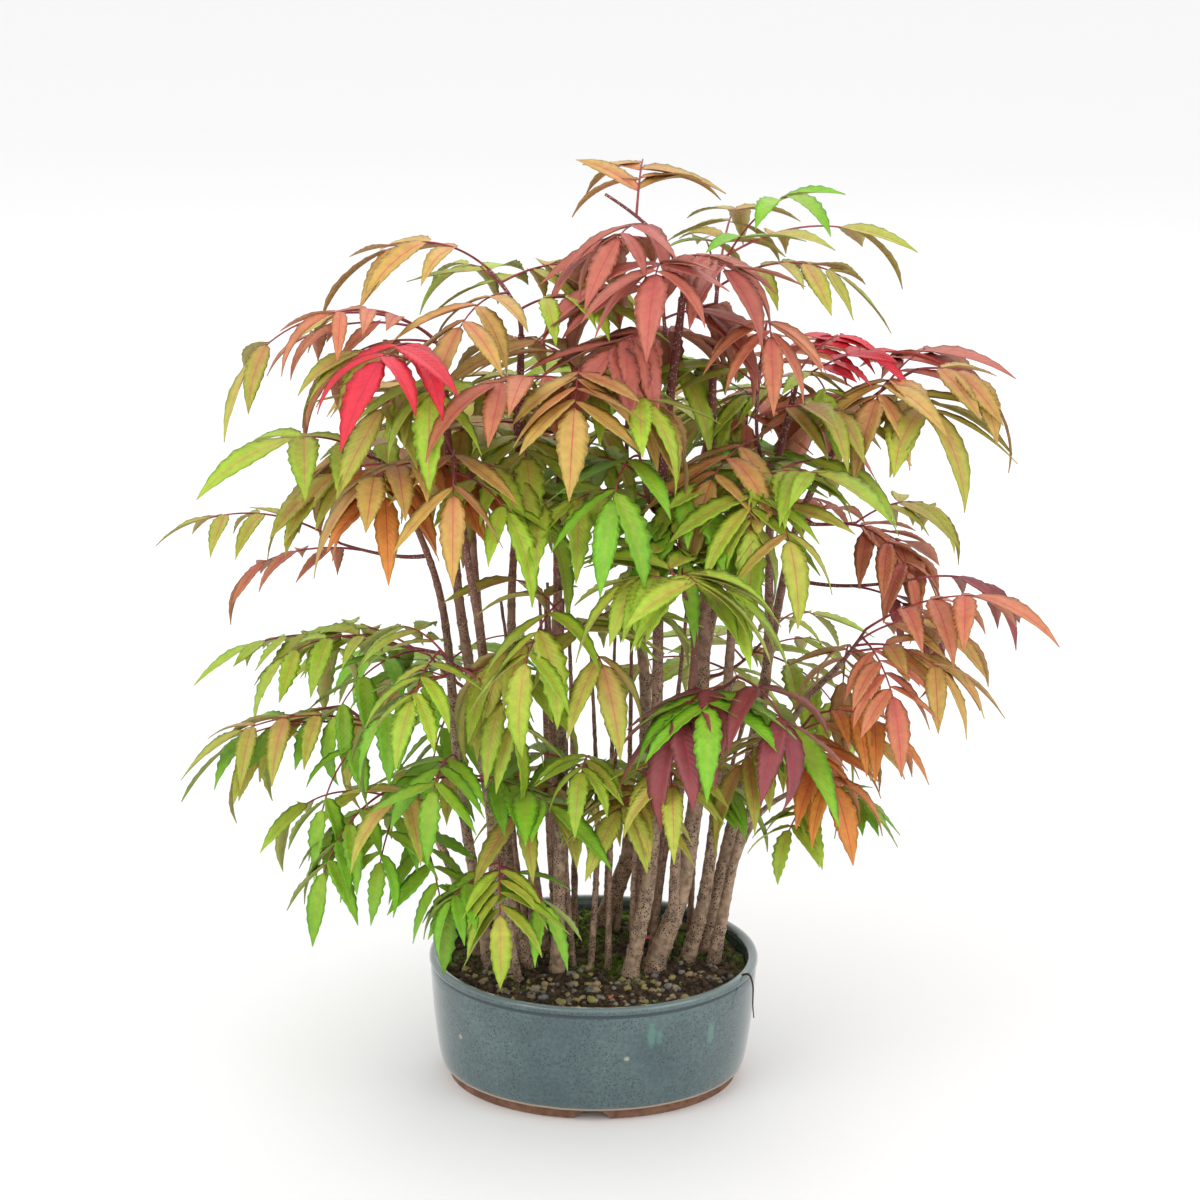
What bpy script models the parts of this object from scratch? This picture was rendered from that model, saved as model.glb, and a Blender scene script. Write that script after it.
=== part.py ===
"""Potted Japanese wax tree, a clump of thin stems in an oval glazed pot.

Metres, +Z up. The origin is the middle of the pot's flat underside, the front faces -Y.
Stems fan out from the soil. Each mass of foliage grows by one seeded rule: a shoot leaves
its stem, feather-shaped leaves leave the shoot, and pairs of leaflets leave each leaf's rib.
"""
import math
import random

import bmesh
import bpy
import numpy as np
from mathutils import Vector
from mathutils.bvhtree import BVHTree

# Clearance that touching pieces keep, and the wider one that foliage keeps
GAP = 0.0003
LEAF_CLEARANCE = 0.0006

# Pot
POT_HALF_WIDTH = 0.106
POT_HALF_DEPTH = 0.096
FOOT_HALF_WIDTH = 0.093
FOOT_HALF_DEPTH = 0.077
POT_HEIGHT = 0.083
POT_WALL = 0.0065
POT_FLOOR = 0.009
FLOOR_INSET = 0.002
INNER_WALL = ((0.02, POT_HEIGHT - 0.003), (0.44, 0.020), (0.72, POT_FLOOR))
POT_SEGMENTS = 48
NOTCH_HALF_WIDTH = 0.0102
NOTCH_HEIGHT = 0.0058
NOTCH_DEPTH = 0.012

# Soil
SOIL_LEVEL = 0.077
SOIL_EDGE_DROP = 0.003
SOIL_FLAT_SHARE = 0.9

# Stems
STEM_SIDES = 6
STEM_RINGS_PER_SPAN = 2
FLARE_HEIGHT = 0.018
FLARE_SHARE = 0.32

# Foliage
SHOOT_RADIUS = 0.0017
SHOOT_TIP_RADIUS = 0.0011
RIB_RADIUS = 0.0013
RIB_TIP_RADIUS = 0.0010
RIB_STATIONS = (0, 0.12, 0.5, 1)
RIB_BEND = math.radians(75)
GOLDEN = 0.618034
LEAF_SHARE = 0.5
PAIRS = 2
SEATS = (0.42, 0.82)
SEAT_STAGGER = 0.03
SPREAD = (44, 60)
DROOP = (0.35, 0.8)
LEAFLET_WIDTH_SHARE = 0.34
LEAFLET_WIDEST = 0.42
LEAFLET_ROOT_HEIGHT = 0.0005
LEAFLET_FOLD = 0.07
STUB = 0.004
TRIES = 6
LEAFLET_TRIES = 4
SHOOT_TRIES = 30
LOWEST_LEAF = 0.092
FIRST_SEED = 101

# Each stem: foot on the soil, points it leans through, foot radius, tip radius
STEMS = {
    "stem_low_left": [(-0.074, 0.004), (-0.089, -0.008, 0.134), (-0.110, -0.027, 0.194),
                      (-0.130, -0.040, 0.235), 0.0036, 0.0018],
    "stem_outer_left": [(-0.066, -0.013), (-0.084, -0.014, 0.190), (-0.095, -0.017, 0.315),
                        (-0.114, -0.019, 0.378), (-0.124, -0.020, 0.401), 0.0040, 0.0018],
    "stem_front_left": [(-0.054, -0.025), (-0.062, -0.030, 0.139), (-0.069, -0.046, 0.289),
                        (-0.078, -0.055, 0.359), (-0.085, -0.060, 0.409), 0.0042, 0.0020],
    "stem_tall_left": [(-0.041, -0.014), (-0.058, -0.017, 0.140), (-0.080, -0.024, 0.290),
                       (-0.087, -0.027, 0.352), (-0.093, -0.030, 0.476), 0.0048, 0.0021],
    "stem_middle_left": [(-0.031, 0.003), (-0.050, 0.002, 0.226), (-0.053, -0.004, 0.315),
                         (-0.049, -0.010, 0.395), (-0.047, -0.015, 0.490), 0.0036, 0.0020],
    "stem_middle": [(-0.023, -0.027), (-0.021, -0.034, 0.241), (-0.024, -0.042, 0.331),
                    (-0.023, -0.049, 0.405), (-0.014, -0.055, 0.459), 0.0042, 0.0018],
    "stem_back_centre": [(0.004, 0.050), (0.029, 0.053, 0.154), (0.032, 0.057, 0.240),
                         (0.023, 0.059, 0.314), (0.019, 0.064, 0.380), 0.0056, 0.0022],
    "stem_main": [(0.022, -0.034), (0.036, -0.034, 0.158), (0.038, -0.031, 0.263),
                  (0.039, -0.025, 0.397), (0.050, -0.020, 0.515), 0.0046, 0.0023],
    "trunk_forked": [(0.037, -0.021), (0.057, -0.018, 0.140), (0.066, -0.013, 0.232),
                     (0.068, -0.003, 0.346), (0.071, 0.005, 0.500), 0.0060, 0.0020],
    "bough_fork_front": [(0.0500, -0.0285, 0.120), (0.053, -0.050, 0.218), (0.059, -0.087, 0.311),
                         (0.053, -0.107, 0.350), 0.0034, 0.0019],
    "stem_right": [(0.060, -0.002), (0.0715, -0.003, 0.126), (0.080, -0.010, 0.226),
                   (0.085, -0.018, 0.325), (0.088, -0.030, 0.398), 0.0044, 0.0019],
    "stem_tall_right": [(0.070, 0.012), (0.089, 0.016, 0.167), (0.108, 0.022, 0.257),
                        (0.109, 0.022, 0.378), (0.121, 0.020, 0.445), 0.0042, 0.0020],
    "stem_leaning_right": [(0.073, 0.035), (0.098, 0.042, 0.188), (0.120, 0.043, 0.326),
                           (0.133, 0.042, 0.374), (0.157, 0.036, 0.423), 0.0042, 0.0020],
    "stem_slanting_right": [(0.077, -0.002), (0.094, -0.012, 0.170), (0.121, -0.034, 0.250),
                            (0.150, -0.058, 0.298), 0.0036, 0.0018],
    "bough_wavy": [(0.081, 0.022), (0.0885, 0.012, 0.131), (0.103, 0.002, 0.173),
                   (0.121, -0.018, 0.197), (0.132, -0.036, 0.204), 0.0024, 0.0014],
    "stem_back_left": [(-0.050, 0.036), (-0.064, 0.056, 0.193), (-0.078, 0.080, 0.294),
                       (-0.084, 0.112, 0.390), 0.0044, 0.0019],
    "stem_back_middle": [(-0.022, 0.050), (-0.029, 0.072, 0.200), (-0.024, 0.100, 0.315),
                         (-0.016, 0.128, 0.393), 0.0046, 0.0019],
    "stem_back_right": [(0.034, 0.066), (0.060, 0.084, 0.191), (0.082, 0.104, 0.313),
                        (0.096, 0.122, 0.405), 0.0048, 0.0019],
    "sprout_front": [(-0.047, -0.040), (-0.052, -0.060, 0.120), (-0.056, -0.082, 0.165),
                     0.0022, 0.0014],
}

# Each mass: stem, share up the stem, middle of the tuft, heading and fan in degrees,
# leaves, rise in degrees, rib length, leaflet length, tint
MASSES = {
    "crown_top": ["stem_main", 1, (0.003, -0.020, 0.577), 185, 130, 5, 38, 0.050, 0.058, "russet"],
    "crown_front": ["stem_main", 0.93, (0.038, -0.052, 0.538), 275, 175, 5, 22, 0.040, 0.062, "russet"],
    "upper_left": ["stem_middle_left", 1, (-0.068, 0.018, 0.524), 170, 180, 5, 30, 0.055, 0.050, "bronze"],
    "left_arch": ["stem_tall_left", 1, (-0.121, -0.008, 0.498), 178, 42, 4, 25, 0.078, 0.047, "rust"],
    "left_red": ["stem_tall_left", 0.96, (-0.104, -0.052, 0.488), 235, 80, 4, 10, 0.050, 0.058, "crimson"],
    "left_orange": ["stem_outer_left", 1, (-0.137, -0.044, 0.420), 230, 130, 5, 20, 0.048, 0.062, "orange"],
    "far_left": ["stem_outer_left", 0.84, (-0.160, 0.006, 0.352), 179, 16, 2, 30, 0.088, 0.040, "rust"],
    "left_middle": ["stem_outer_left", 0.64, (-0.144, 0.034, 0.279), 166, 72, 5, 18, 0.080, 0.048, "lime"],
    "left_low": ["stem_low_left", 1, (-0.157, -0.020, 0.254), 186, 60, 5, 12, 0.074, 0.046, "olive"],
    "left_foot": ["stem_low_left", 0.74, (-0.128, -0.058, 0.212), 222, 75, 5, 5, 0.062, 0.042, "green"],
    "sprout": ["sprout_front", 1, (-0.058, -0.092, 0.182), 255, 110, 4, 0, 0.042, 0.042, "lime"],
    "low_front": ["stem_front_left", 0.42, (-0.085, -0.088, 0.246), 255, 130, 5, 12, 0.055, 0.048, "olive"],
    "middle_left": ["stem_front_left", 0.64, (-0.094, -0.088, 0.312), 245, 140, 5, 16, 0.056, 0.052, "lime"],
    "fork_left": ["stem_front_left", 1, (-0.085, -0.072, 0.432), 265, 175, 6, 24, 0.054, 0.056, "bronze"],
    "centre_left": ["stem_middle_left", 0.82, (-0.053, 0.022, 0.450), 120, 150, 5, 26, 0.058, 0.054, "olive"],
    "middle_front": ["stem_middle", 0.60, (-0.020, -0.078, 0.342), 240, 150, 5, 20, 0.056, 0.054, "olive"],
    "centre_top": ["stem_middle", 1, (-0.010, -0.060, 0.480), 270, 180, 6, 26, 0.056, 0.058, "bronze"],
    "centre": ["stem_main", 0.70, (0.025, -0.066, 0.428), 270, 180, 6, 22, 0.055, 0.056, "green"],
    "centre_right": ["trunk_forked", 0.72, (0.064, 0.034, 0.398), 70, 150, 5, 24, 0.055, 0.054, "green"],
    "front_rosette": ["bough_fork_front", 1, (0.047, -0.128, 0.368), 270, 180, 5, 34, 0.034, 0.064, "lime"],
    "low_middle": ["stem_middle", 0.36, (-0.002, -0.072, 0.238), 265, 150, 5, 20, 0.042, 0.046, "green"],
    "low_right": ["stem_main", 0.30, (0.044, -0.088, 0.240), 280, 150, 5, 16, 0.044, 0.048, "green"],
    "maroon": ["bough_fork_front", 0.72, (0.084, -0.108, 0.304), 315, 95, 4, 14, 0.050, 0.066, "maroon"],
    "right": ["stem_slanting_right", 1, (0.163, -0.068, 0.322), 345, 95, 6, 20, 0.064, 0.048, "bronze"],
    "far_right": ["stem_leaning_right", 0.70, (0.198, -0.006, 0.336), 358, 16, 2, 15, 0.060, 0.042, "maroon"],
    "right_middle": ["stem_leaning_right", 0.80, (0.166, 0.066, 0.352), 30, 120, 5, 22, 0.058, 0.044, "rust"],
    "right_rosette": ["stem_leaning_right", 1, (0.196, 0.016, 0.464), 345, 150, 5, 28, 0.042, 0.062, "rust"],
    "right_top": ["trunk_forked", 1, (0.075, 0.032, 0.529), 20, 100, 5, 42, 0.078, 0.046, "olive"],
    "upper_right": ["stem_tall_right", 0.88, (0.100, -0.022, 0.494), 280, 170, 5, 22, 0.054, 0.054, "bronze"],
    "red_right": ["stem_tall_right", 1, (0.126, 0.040, 0.458), 40, 150, 5, 26, 0.042, 0.042, "crimson"],
    "middle_right": ["stem_right", 1, (0.100, -0.056, 0.398), 300, 160, 6, 22, 0.056, 0.054, "lime"],
    "low_slant": ["stem_slanting_right", 0.72, (0.132, -0.056, 0.262), 320, 120, 5, 12, 0.046, 0.048,
                  "orange"],
    "bough_end": ["bough_wavy", 1, (0.138, -0.052, 0.208), 325, 90, 3, 15, 0.030, 0.034, "green"],
    "back_left": ["stem_back_left", 1, (-0.094, 0.126, 0.404), 125, 180, 6, 22, 0.066, 0.052, "bronze"],
    "back_middle": ["stem_back_middle", 1, (-0.014, 0.146, 0.410), 90, 180, 6, 24, 0.064, 0.052, "olive"],
    "back_right": ["stem_back_right", 1, (0.102, 0.134, 0.424), 60, 180, 6, 24, 0.064, 0.052, "rust"],
    "back_centre": ["stem_back_centre", 1, (0.020, 0.086, 0.462), 80, 180, 6, 24, 0.060, 0.052, "lime"],
    "back_low_left": ["stem_back_left", 0.5, (-0.110, 0.092, 0.252), 130, 130, 6, 15, 0.064, 0.050, "green"],
    "back_low_right": ["stem_back_right", 0.5, (0.112, 0.100, 0.264), 50, 130, 6, 15, 0.064, 0.050, "lime"],
}

# Leaf colours by name of tint
TINTS = {
    "green": (0.16, 0.36, 0.02),
    "lime": (0.32, 0.42, 0.04),
    "olive": (0.30, 0.28, 0.04),
    "bronze": (0.38, 0.20, 0.05),
    "rust": (0.42, 0.13, 0.06),
    "russet": (0.34, 0.10, 0.06),
    "orange": (0.52, 0.20, 0.03),
    "maroon": (0.24, 0.05, 0.05),
    "crimson": (0.62, 0.03, 0.06),
}


def clear_scene():
    for old in list(bpy.data.objects):
        bpy.data.objects.remove(old, do_unlink=True)


def material(name, colour, roughness):
    made = bpy.data.materials.new(name)
    made.use_nodes = True
    shader = made.node_tree.nodes["Principled BSDF"]
    shader.inputs["Base Color"].default_value = (*colour, 1)
    shader.inputs["Roughness"].default_value = roughness
    shader.inputs["Metallic"].default_value = 0
    return made


def mesh_object(name, points, faces, finish=None):
    """A mesh object from points and faces, its faces turned outwards."""
    mesh = bpy.data.meshes.new(name)
    mesh.from_pydata([tuple(p) for p in points], [], faces)
    form = bmesh.new()
    form.from_mesh(mesh)
    bmesh.ops.recalc_face_normals(form, faces=form.faces)
    form.to_mesh(mesh)
    form.free()
    made = bpy.data.objects.new(name, mesh)
    bpy.context.scene.collection.objects.link(made)
    if finish:
        mesh.materials.append(finish)
    return made


def shade_round(made, angle=40):
    made.data.shade_smooth()
    made.data.set_sharp_from_angle(angle=math.radians(angle))


# Pot and soil


def oval(share, step, height):
    """A ring of the pot: share runs from the lip's oval (0) to the foot's (1), step is an inset."""
    half_width = POT_HALF_WIDTH + share * (FOOT_HALF_WIDTH - POT_HALF_WIDTH) - step
    half_depth = POT_HALF_DEPTH + share * (FOOT_HALF_DEPTH - POT_HALF_DEPTH) - step
    turn = np.linspace(0, 2 * math.pi, POT_SEGMENTS, endpoint=False)
    height = np.full(POT_SEGMENTS, height)
    return np.stack([half_width * np.cos(turn), half_depth * np.sin(turn), height], 1)


def loft(rings):
    """Points and faces of a closed body through rings of equal length, capped at both ends."""
    count = len(rings[0])
    faces = []
    for ring in range(len(rings) - 1):
        for i in range(count):
            j = (i + 1) % count
            low, high = ring * count, (ring + 1) * count
            faces.append((low + i, low + j, high + j, high + i))
    faces.append(tuple(reversed(range(count))))
    faces.append(tuple(range((len(rings) - 1) * count, len(rings) * count)))
    return np.concatenate(rings), faces


def make_pot():
    lip = POT_HEIGHT
    outside = [
        (1.0, 0.0, 0.0), (1.0, 0.0, 0.0052), (0.66, 0.0, 0.0085), (0.50, 0.0, 0.0155),
        (0.30, 0.0, 0.034), (0.05, 0.0003, lip - 0.0075), (0.04, 0.0012, lip - 0.0056),
        (0.0, 0.0, lip - 0.0040), (0.0, 0.0006, lip - 0.0010), (0.0, 0.0024, lip),
    ]
    inside = [(0.0, 0.0046, lip)] + [(share, POT_WALL, height) for share, height in INNER_WALL[:2]]
    inside.append((INNER_WALL[2][0], POT_WALL + FLOOR_INSET, INNER_WALL[2][1]))
    points, faces = loft([oval(*ring) for ring in outside + inside])
    pot = mesh_object("pot", points, faces, material("glazed_ceramic", (0.10, 0.17, 0.18), 0.3))
    shade_round(pot)
    for side, name in ((-1, "front"), (1, "back")):
        cut_notch(pot, side, name)
    return pot


def cut_notch(pot, side, name):
    """A low arch through the foot's rim, cut by an oval bar that lies along Y."""
    turn = math.pi / 18 + np.linspace(0, 2 * math.pi, 18, endpoint=False)
    bar = []
    for y in (FOOT_HALF_DEPTH - NOTCH_DEPTH, FOOT_HALF_DEPTH + NOTCH_DEPTH):
        flat = np.full(len(turn), side * y)
        bar.append(np.stack([NOTCH_HALF_WIDTH * np.cos(turn), flat, NOTCH_HEIGHT * np.sin(turn)], 1))
    points, faces = loft(bar)
    cutter = mesh_object("notch_" + name, points, faces)
    cutter.hide_render = True
    cutter.display_type = "WIRE"
    cut = pot.modifiers.new("notch_" + name, "BOOLEAN")
    cut.operation = "DIFFERENCE"
    cut.solver = "EXACT"
    cut.object = cutter


def make_soil():
    """Fills the pot to just under the lip: flat where the stems stand, lower at its edge."""
    clear = POT_WALL + GAP * 1.5
    edge = SOIL_LEVEL - SOIL_EDGE_DROP
    (top_share, top), (low_share, low), (floor_share, floor) = INNER_WALL
    edge_share = low_share + (top_share - low_share) * (edge - low) / (top - low)
    rings = [oval(floor_share, clear + FLOOR_INSET, floor + GAP), oval(low_share, clear, low)]
    rings.append(oval(edge_share, clear, edge))
    plateau = oval(edge_share, clear, SOIL_LEVEL)
    plateau[:, :2] *= SOIL_FLAT_SHARE
    rings.append(plateau)
    points, faces = loft(rings)
    soil = mesh_object("soil", points, faces, material("soil", (0.07, 0.045, 0.025), 0.95))
    shade_round(soil, 25)
    return soil


# Tubes


def unit(vector):
    return vector / np.linalg.norm(vector)


def smooth_path(points, per_span):
    """A Catmull-Rom curve through the points, with per_span steps from each to the next."""
    points = np.array(points, float)
    ends = np.vstack([2 * points[0] - points[1], points, 2 * points[-1] - points[-2]])
    path = []
    for i in range(len(points) - 1):
        a, b, c, d = ends[i:i + 4]
        for step in range(per_span):
            t = step / per_span
            path.append(0.5 * (2 * b + (c - a) * t + (2 * a - 5 * b + 4 * c - d) * t ** 2
                               + (3 * b - a - 3 * c + d) * t ** 3))
    path.append(points[-1])
    return np.array(path)


def tube(path, radii, sides, level_foot=False, across=(0.95, 0.12, 0.29)):
    """Points and faces of a closed tapering tube. level_foot cuts its first end level."""
    along = np.gradient(path, axis=0)
    across = np.array(across)
    turn = math.pi / 6 + np.linspace(0, 2 * math.pi, sides, endpoint=False)
    rings = []
    for centre, tangent, radius in zip(path, along, radii):
        tangent = unit(tangent)
        across = unit(across - tangent * np.dot(across, tangent))
        other = np.cross(tangent, across)
        ring = centre + radius * (np.outer(np.cos(turn), across) + np.outer(np.sin(turn), other))
        if level_foot and not rings:
            ring -= np.outer((ring[:, 2] - centre[2]) / tangent[2], tangent)
        rings.append(ring)
    return loft(rings)


# Stems


class Limb:
    """A stem's centre line and radii, which foliage reads to find its seat."""

    def __init__(self, points, foot_radius, tip_radius, rooted):
        self.path = smooth_path(points, STEM_RINGS_PER_SPAN)
        steps = np.linalg.norm(np.diff(self.path, axis=0), axis=1)
        self.length = np.concatenate([[0], np.cumsum(steps)])
        share = self.length / self.length[-1]
        self.radii = foot_radius + (tip_radius - foot_radius) * share
        if rooted:
            self.radii *= 1 + FLARE_SHARE * np.exp(-self.length / FLARE_HEIGHT)
        self.rooted = rooted

    def at(self, share):
        """Centre, direction and radius at a share of the length."""
        here = share * self.length[-1]
        i = min(np.searchsorted(self.length, here), len(self.length) - 1)
        i = max(i, 1)
        t = (here - self.length[i - 1]) / (self.length[i] - self.length[i - 1])
        centre = self.path[i - 1] + t * (self.path[i] - self.path[i - 1])
        radius = self.radii[i - 1] + t * (self.radii[i] - self.radii[i - 1])
        return centre, unit(self.path[i] - self.path[i - 1]), radius


def make_stems(bark):
    limbs = {}
    ground = SOIL_LEVEL + GAP
    for name, row in STEMS.items():
        *points, foot_radius, tip_radius = row
        rooted = len(points[0]) == 2
        if rooted:
            points[0] = (*points[0], ground)
        limb = Limb(points, foot_radius, tip_radius, rooted)
        limbs[name] = limb
        made = mesh_object(name, *tube(limb.path, limb.radii, STEM_SIDES, rooted), bark)
        shade_round(made, 60)
        take_space(made)
    return limbs


# Space that is taken: bounding corners and a search tree for every finished piece

taken = []


def take_space(made):
    points = np.array([tuple(v.co) for v in made.data.vertices])
    faces = [tuple(p.vertices) for p in made.data.polygons]
    taken.append(searchable(made.name, points, faces))


def searchable(owner, points, faces):
    tree = BVHTree.FromPolygons([Vector(p) for p in points], faces)
    return owner, points.min(0), points.max(0), tree


def is_clear(piece, others):
    _, low, high, tree = piece
    for _, other_low, other_high, other in others:
        if (low > other_high).any() or (high < other_low).any():
            continue
        if tree.overlap(other):
            return False
    return True


# Foliage


def leaflet(root, direction, normal, length):
    """Five points and six faces: an upright root edge, two raised edges and a tip."""
    side = unit(np.cross(direction, normal))
    normal = np.cross(side, direction)
    half_width = 0.5 * LEAFLET_WIDTH_SHARE * length
    widest = root + LEAFLET_WIDEST * length * direction + LEAFLET_FOLD * length * normal
    points = np.array([
        root + LEAFLET_ROOT_HEIGHT * normal,
        root - LEAFLET_ROOT_HEIGHT * normal,
        widest - half_width * side,
        widest + half_width * side,
        root + length * direction,
    ])
    faces = [(0, 2, 1), (0, 1, 3), (0, 4, 2), (0, 3, 4), (1, 2, 4), (1, 4, 3)]
    return points, faces


def leaflet_space(points, clearance):
    """The leaflet's outline as a plate that is thicker and wider by the clearance."""
    root = points[:2].mean(0)
    outline = np.array([root, points[2], points[4], points[3]])
    middle = outline.mean(0)
    away = outline - middle
    outline = outline + clearance * away / np.linalg.norm(away, axis=1)[:, None]
    normal = unit(np.cross(points[2] - root, points[3] - root))
    lift = (clearance + LEAFLET_ROOT_HEIGHT) * normal
    plate = np.concatenate([outline - lift, outline + lift])
    faces = [(0, 1, 3), (1, 2, 3), (4, 7, 5), (5, 7, 6)]
    for i in range(4):
        j = (i + 1) % 4
        faces.append((i, j, j + 4, i + 4))
    return searchable("leaflet", plate, faces)


def rib_path(start, heading, rise, length):
    """The rib leaves at the rise and bends down as it goes: a plane curve of even steps."""
    fine = np.linspace(0, 1, 31)
    tilt = rise - RIB_BEND * fine ** 1.2
    out = np.array([math.cos(heading), math.sin(heading), 0])
    step = length / 30
    travel = step * (np.outer(np.cos(tilt), out) + np.outer(np.sin(tilt), (0, 0, 1)))
    fine_path = start + np.concatenate([[np.zeros(3)], np.cumsum(travel[:-1], axis=0)])
    return np.stack([np.interp(RIB_STATIONS, fine, fine_path[:, i]) for i in range(3)], 1)


def along_rib(path, share):
    return np.array([np.interp(share, RIB_STATIONS, path[:, i]) for i in range(3)])


def grow_leaf(start, heading, rise, rib_length, leaflet_length, rng, others):
    """One feather-shaped leaf as a list of (points, faces), or None where its rib has no room."""
    path = rib_path(start, heading, rise, rib_length)
    radii = np.linspace(RIB_RADIUS, RIB_TIP_RADIUS, len(path))
    tested = tube(path[1:], radii[1:] + LEAF_CLEARANCE, 3)
    if not is_clear(searchable("rib", *tested), others) or path[:, 2].min() < LOWEST_LEAF:
        return None
    across = np.array([-math.sin(heading), math.cos(heading), 0])
    pieces = [tube(path, radii, 3, across=across)]
    first = rng.choice((-1, 1))
    seats = []
    for seat in np.linspace(*SEATS, PAIRS):
        seats += [(seat + SEAT_STAGGER * side, side * first) for side in (-1, 1)]
    for seat, side in [*seats, (1 - RIB_RADIUS / rib_length, 0)]:
        root = along_rib(path, seat)
        ahead = unit(along_rib(path, min(seat + 0.02, 1)) - along_rib(path, seat - 0.02))
        grown = place_leaflet(root, ahead, side * across, leaflet_length, rng, others)
        if grown:
            pieces.append(grown)
    return pieces


def place_leaflet(root, ahead, side, leaflet_length, rng, others):
    """Tries a few droops and sizes, and gives the first leaflet that touches nothing."""
    for attempt in range(LEAFLET_TRIES):
        spread = math.radians(rng.uniform(*SPREAD))
        droop = rng.uniform(*DROOP)
        length = leaflet_length * rng.uniform(0.86, 1.08) * (1 - 0.12 * attempt)
        if np.any(side):
            direction = ahead * math.cos(spread) + side * math.sin(spread)
        else:
            direction = ahead.copy()
        direction = unit(direction - np.array([0, 0, droop]))
        facing = np.array([0, 0, 1.0]) + 0.5 * side + 0.3 * ahead
        points, faces = leaflet(root, direction, facing, length)
        if points[:, 2].min() < LOWEST_LEAF:
            continue
        if is_clear(leaflet_space(points, LEAF_CLEARANCE), others):
            return points, faces
    return None


def shoot_path(limb, share, middle, rng):
    """From the stem's tip, or square off its side, in a bow to the tuft's middle."""
    centre, tangent, radius = limb.at(share)
    middle = np.array(middle)
    if share == 1:
        start, out = centre + GAP * tangent, tangent
    else:
        out = middle - centre
        out = unit(out - tangent * np.dot(out, tangent))
        start = centre + (radius + GAP) * out
    reach = np.linalg.norm(middle - start)
    bow = start + 0.4 * reach * unit(out + rng.uniform(-0.1, 0.1) * np.cross(out, tangent))
    stub = start + STUB * out
    fine = [stub + t * (2 * (1 - t) * (bow - stub) + t * (middle - stub)) for t in (0, 0.33, 0.66, 1)]
    return np.array([start, *fine])


class Mass:
    """One mass of foliage while it grows: its shoot, then one spray at a time."""

    def __init__(self, name, row, limbs, seed):
        self.name = name
        self.host, self.share, self.middle, self.heading, self.fan = row[:5]
        self.count, self.rise, self.rib_length, self.leaflet_length, self.tint = row[5:]
        self.rng = random.Random(seed)
        self.pieces = []
        self.grow_shoot(limbs[self.host])

    def others(self):
        return [space for space in taken if space[0] != self.name]

    def grow_shoot(self, limb):
        middle = np.array(self.middle)
        for attempt in range(SHOOT_TRIES):
            self.path = shoot_path(limb, self.share, middle, self.rng)
            radii = np.linspace(SHOOT_RADIUS, SHOOT_TIP_RADIUS, len(self.path))
            space = searchable(self.name, *tube(self.path[1:], radii[1:] + LEAF_CLEARANCE, 3))
            if is_clear(space, self.others()):
                break
            stray = 0.001 * (attempt + 1)
            middle = np.array(self.middle) + np.array([self.rng.uniform(-stray, stray) for _ in range(3)])
        else:
            print("no room for the shoot of", self.name)
        self.pieces.append(tube(self.path, radii, 3))
        taken.append(searchable(self.name, *self.pieces[0]))
        self.sprays = []

    def grow_spray(self, k):
        """Leaf k leaves the shoot lower and flatter than the one before, turned by the golden ratio."""
        best = None
        for attempt in range(TRIES):
            along = 1 - k / self.count
            start = self.path[-2] + (self.path[-1] - self.path[-2]) * along
            turn = 2 * ((k * GOLDEN + 0.13 * attempt + 0.5) % 1) - 1
            heading = math.radians(self.heading + self.fan * turn + self.rng.uniform(-8, 8))
            rise = math.radians(self.rise + self.rng.uniform(-10, 10) - 12 * k / self.count)
            size = self.rng.uniform(0.88, 1.1)
            grown = grow_leaf(start, heading, rise, self.rib_length * size,
                              self.leaflet_length * size, self.rng, self.others() + self.sprays)
            if grown and (best is None or len(grown) > len(best)):
                best = grown
            if best and len(best) == 2 + 2 * PAIRS:
                break
        if best and len(best) > 2:
            self.pieces += best
            self.sprays.append(joined_space(self.name, best))
            taken.append(self.sprays[-1])


def joined_space(owner, pieces):
    points, faces, offset = [], [], 0
    for piece_points, piece_faces in pieces:
        points.append(piece_points)
        faces += [tuple(i + offset for i in face) for face in piece_faces]
        offset += len(piece_points)
    return searchable(owner, np.concatenate(points), faces)


def fuse(name, pieces, finish):
    """Joins a mass's pieces by one Boolean union on their collection, then drops the pieces."""
    body = mesh_object(name, *pieces[0], finish)
    group = bpy.data.collections.new(name + "_pieces")
    bpy.context.scene.collection.children.link(group)
    for points, faces in pieces[1:]:
        piece = mesh_object(name + "_piece", points, faces)
        bpy.context.scene.collection.objects.unlink(piece)
        group.objects.link(piece)
    join = body.modifiers.new("join", "BOOLEAN")
    join.operation = "UNION"
    join.operand_type = "COLLECTION"
    join.collection = group
    join.solver = "EXACT"
    joined = bpy.data.meshes.new_from_object(body.evaluated_get(bpy.context.evaluated_depsgraph_get()))
    body.modifiers.clear()
    body.data = joined
    for piece in list(group.objects):
        bpy.data.objects.remove(piece, do_unlink=True)
    bpy.data.collections.remove(group)
    keep_largest(joined)
    joined.materials.clear()
    joined.materials.append(finish)
    return body


def keep_largest(mesh):
    """Keeps the body with the most points, and so drops loose scraps and sealed hollows."""
    form = bmesh.new()
    form.from_mesh(mesh)
    left = set(form.verts)
    bodies = []
    while left:
        body, edge = set(), [left.pop()]
        while edge:
            vertex = edge.pop()
            body.add(vertex)
            for link in vertex.link_edges:
                other = link.other_vert(vertex)
                if other in left:
                    left.discard(other)
                    edge.append(other)
        bodies.append(body)
    bodies.sort(key=len)
    for body in bodies[:-1]:
        bmesh.ops.delete(form, geom=list(body), context="VERTS")
    form.to_mesh(mesh)
    form.free()


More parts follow.
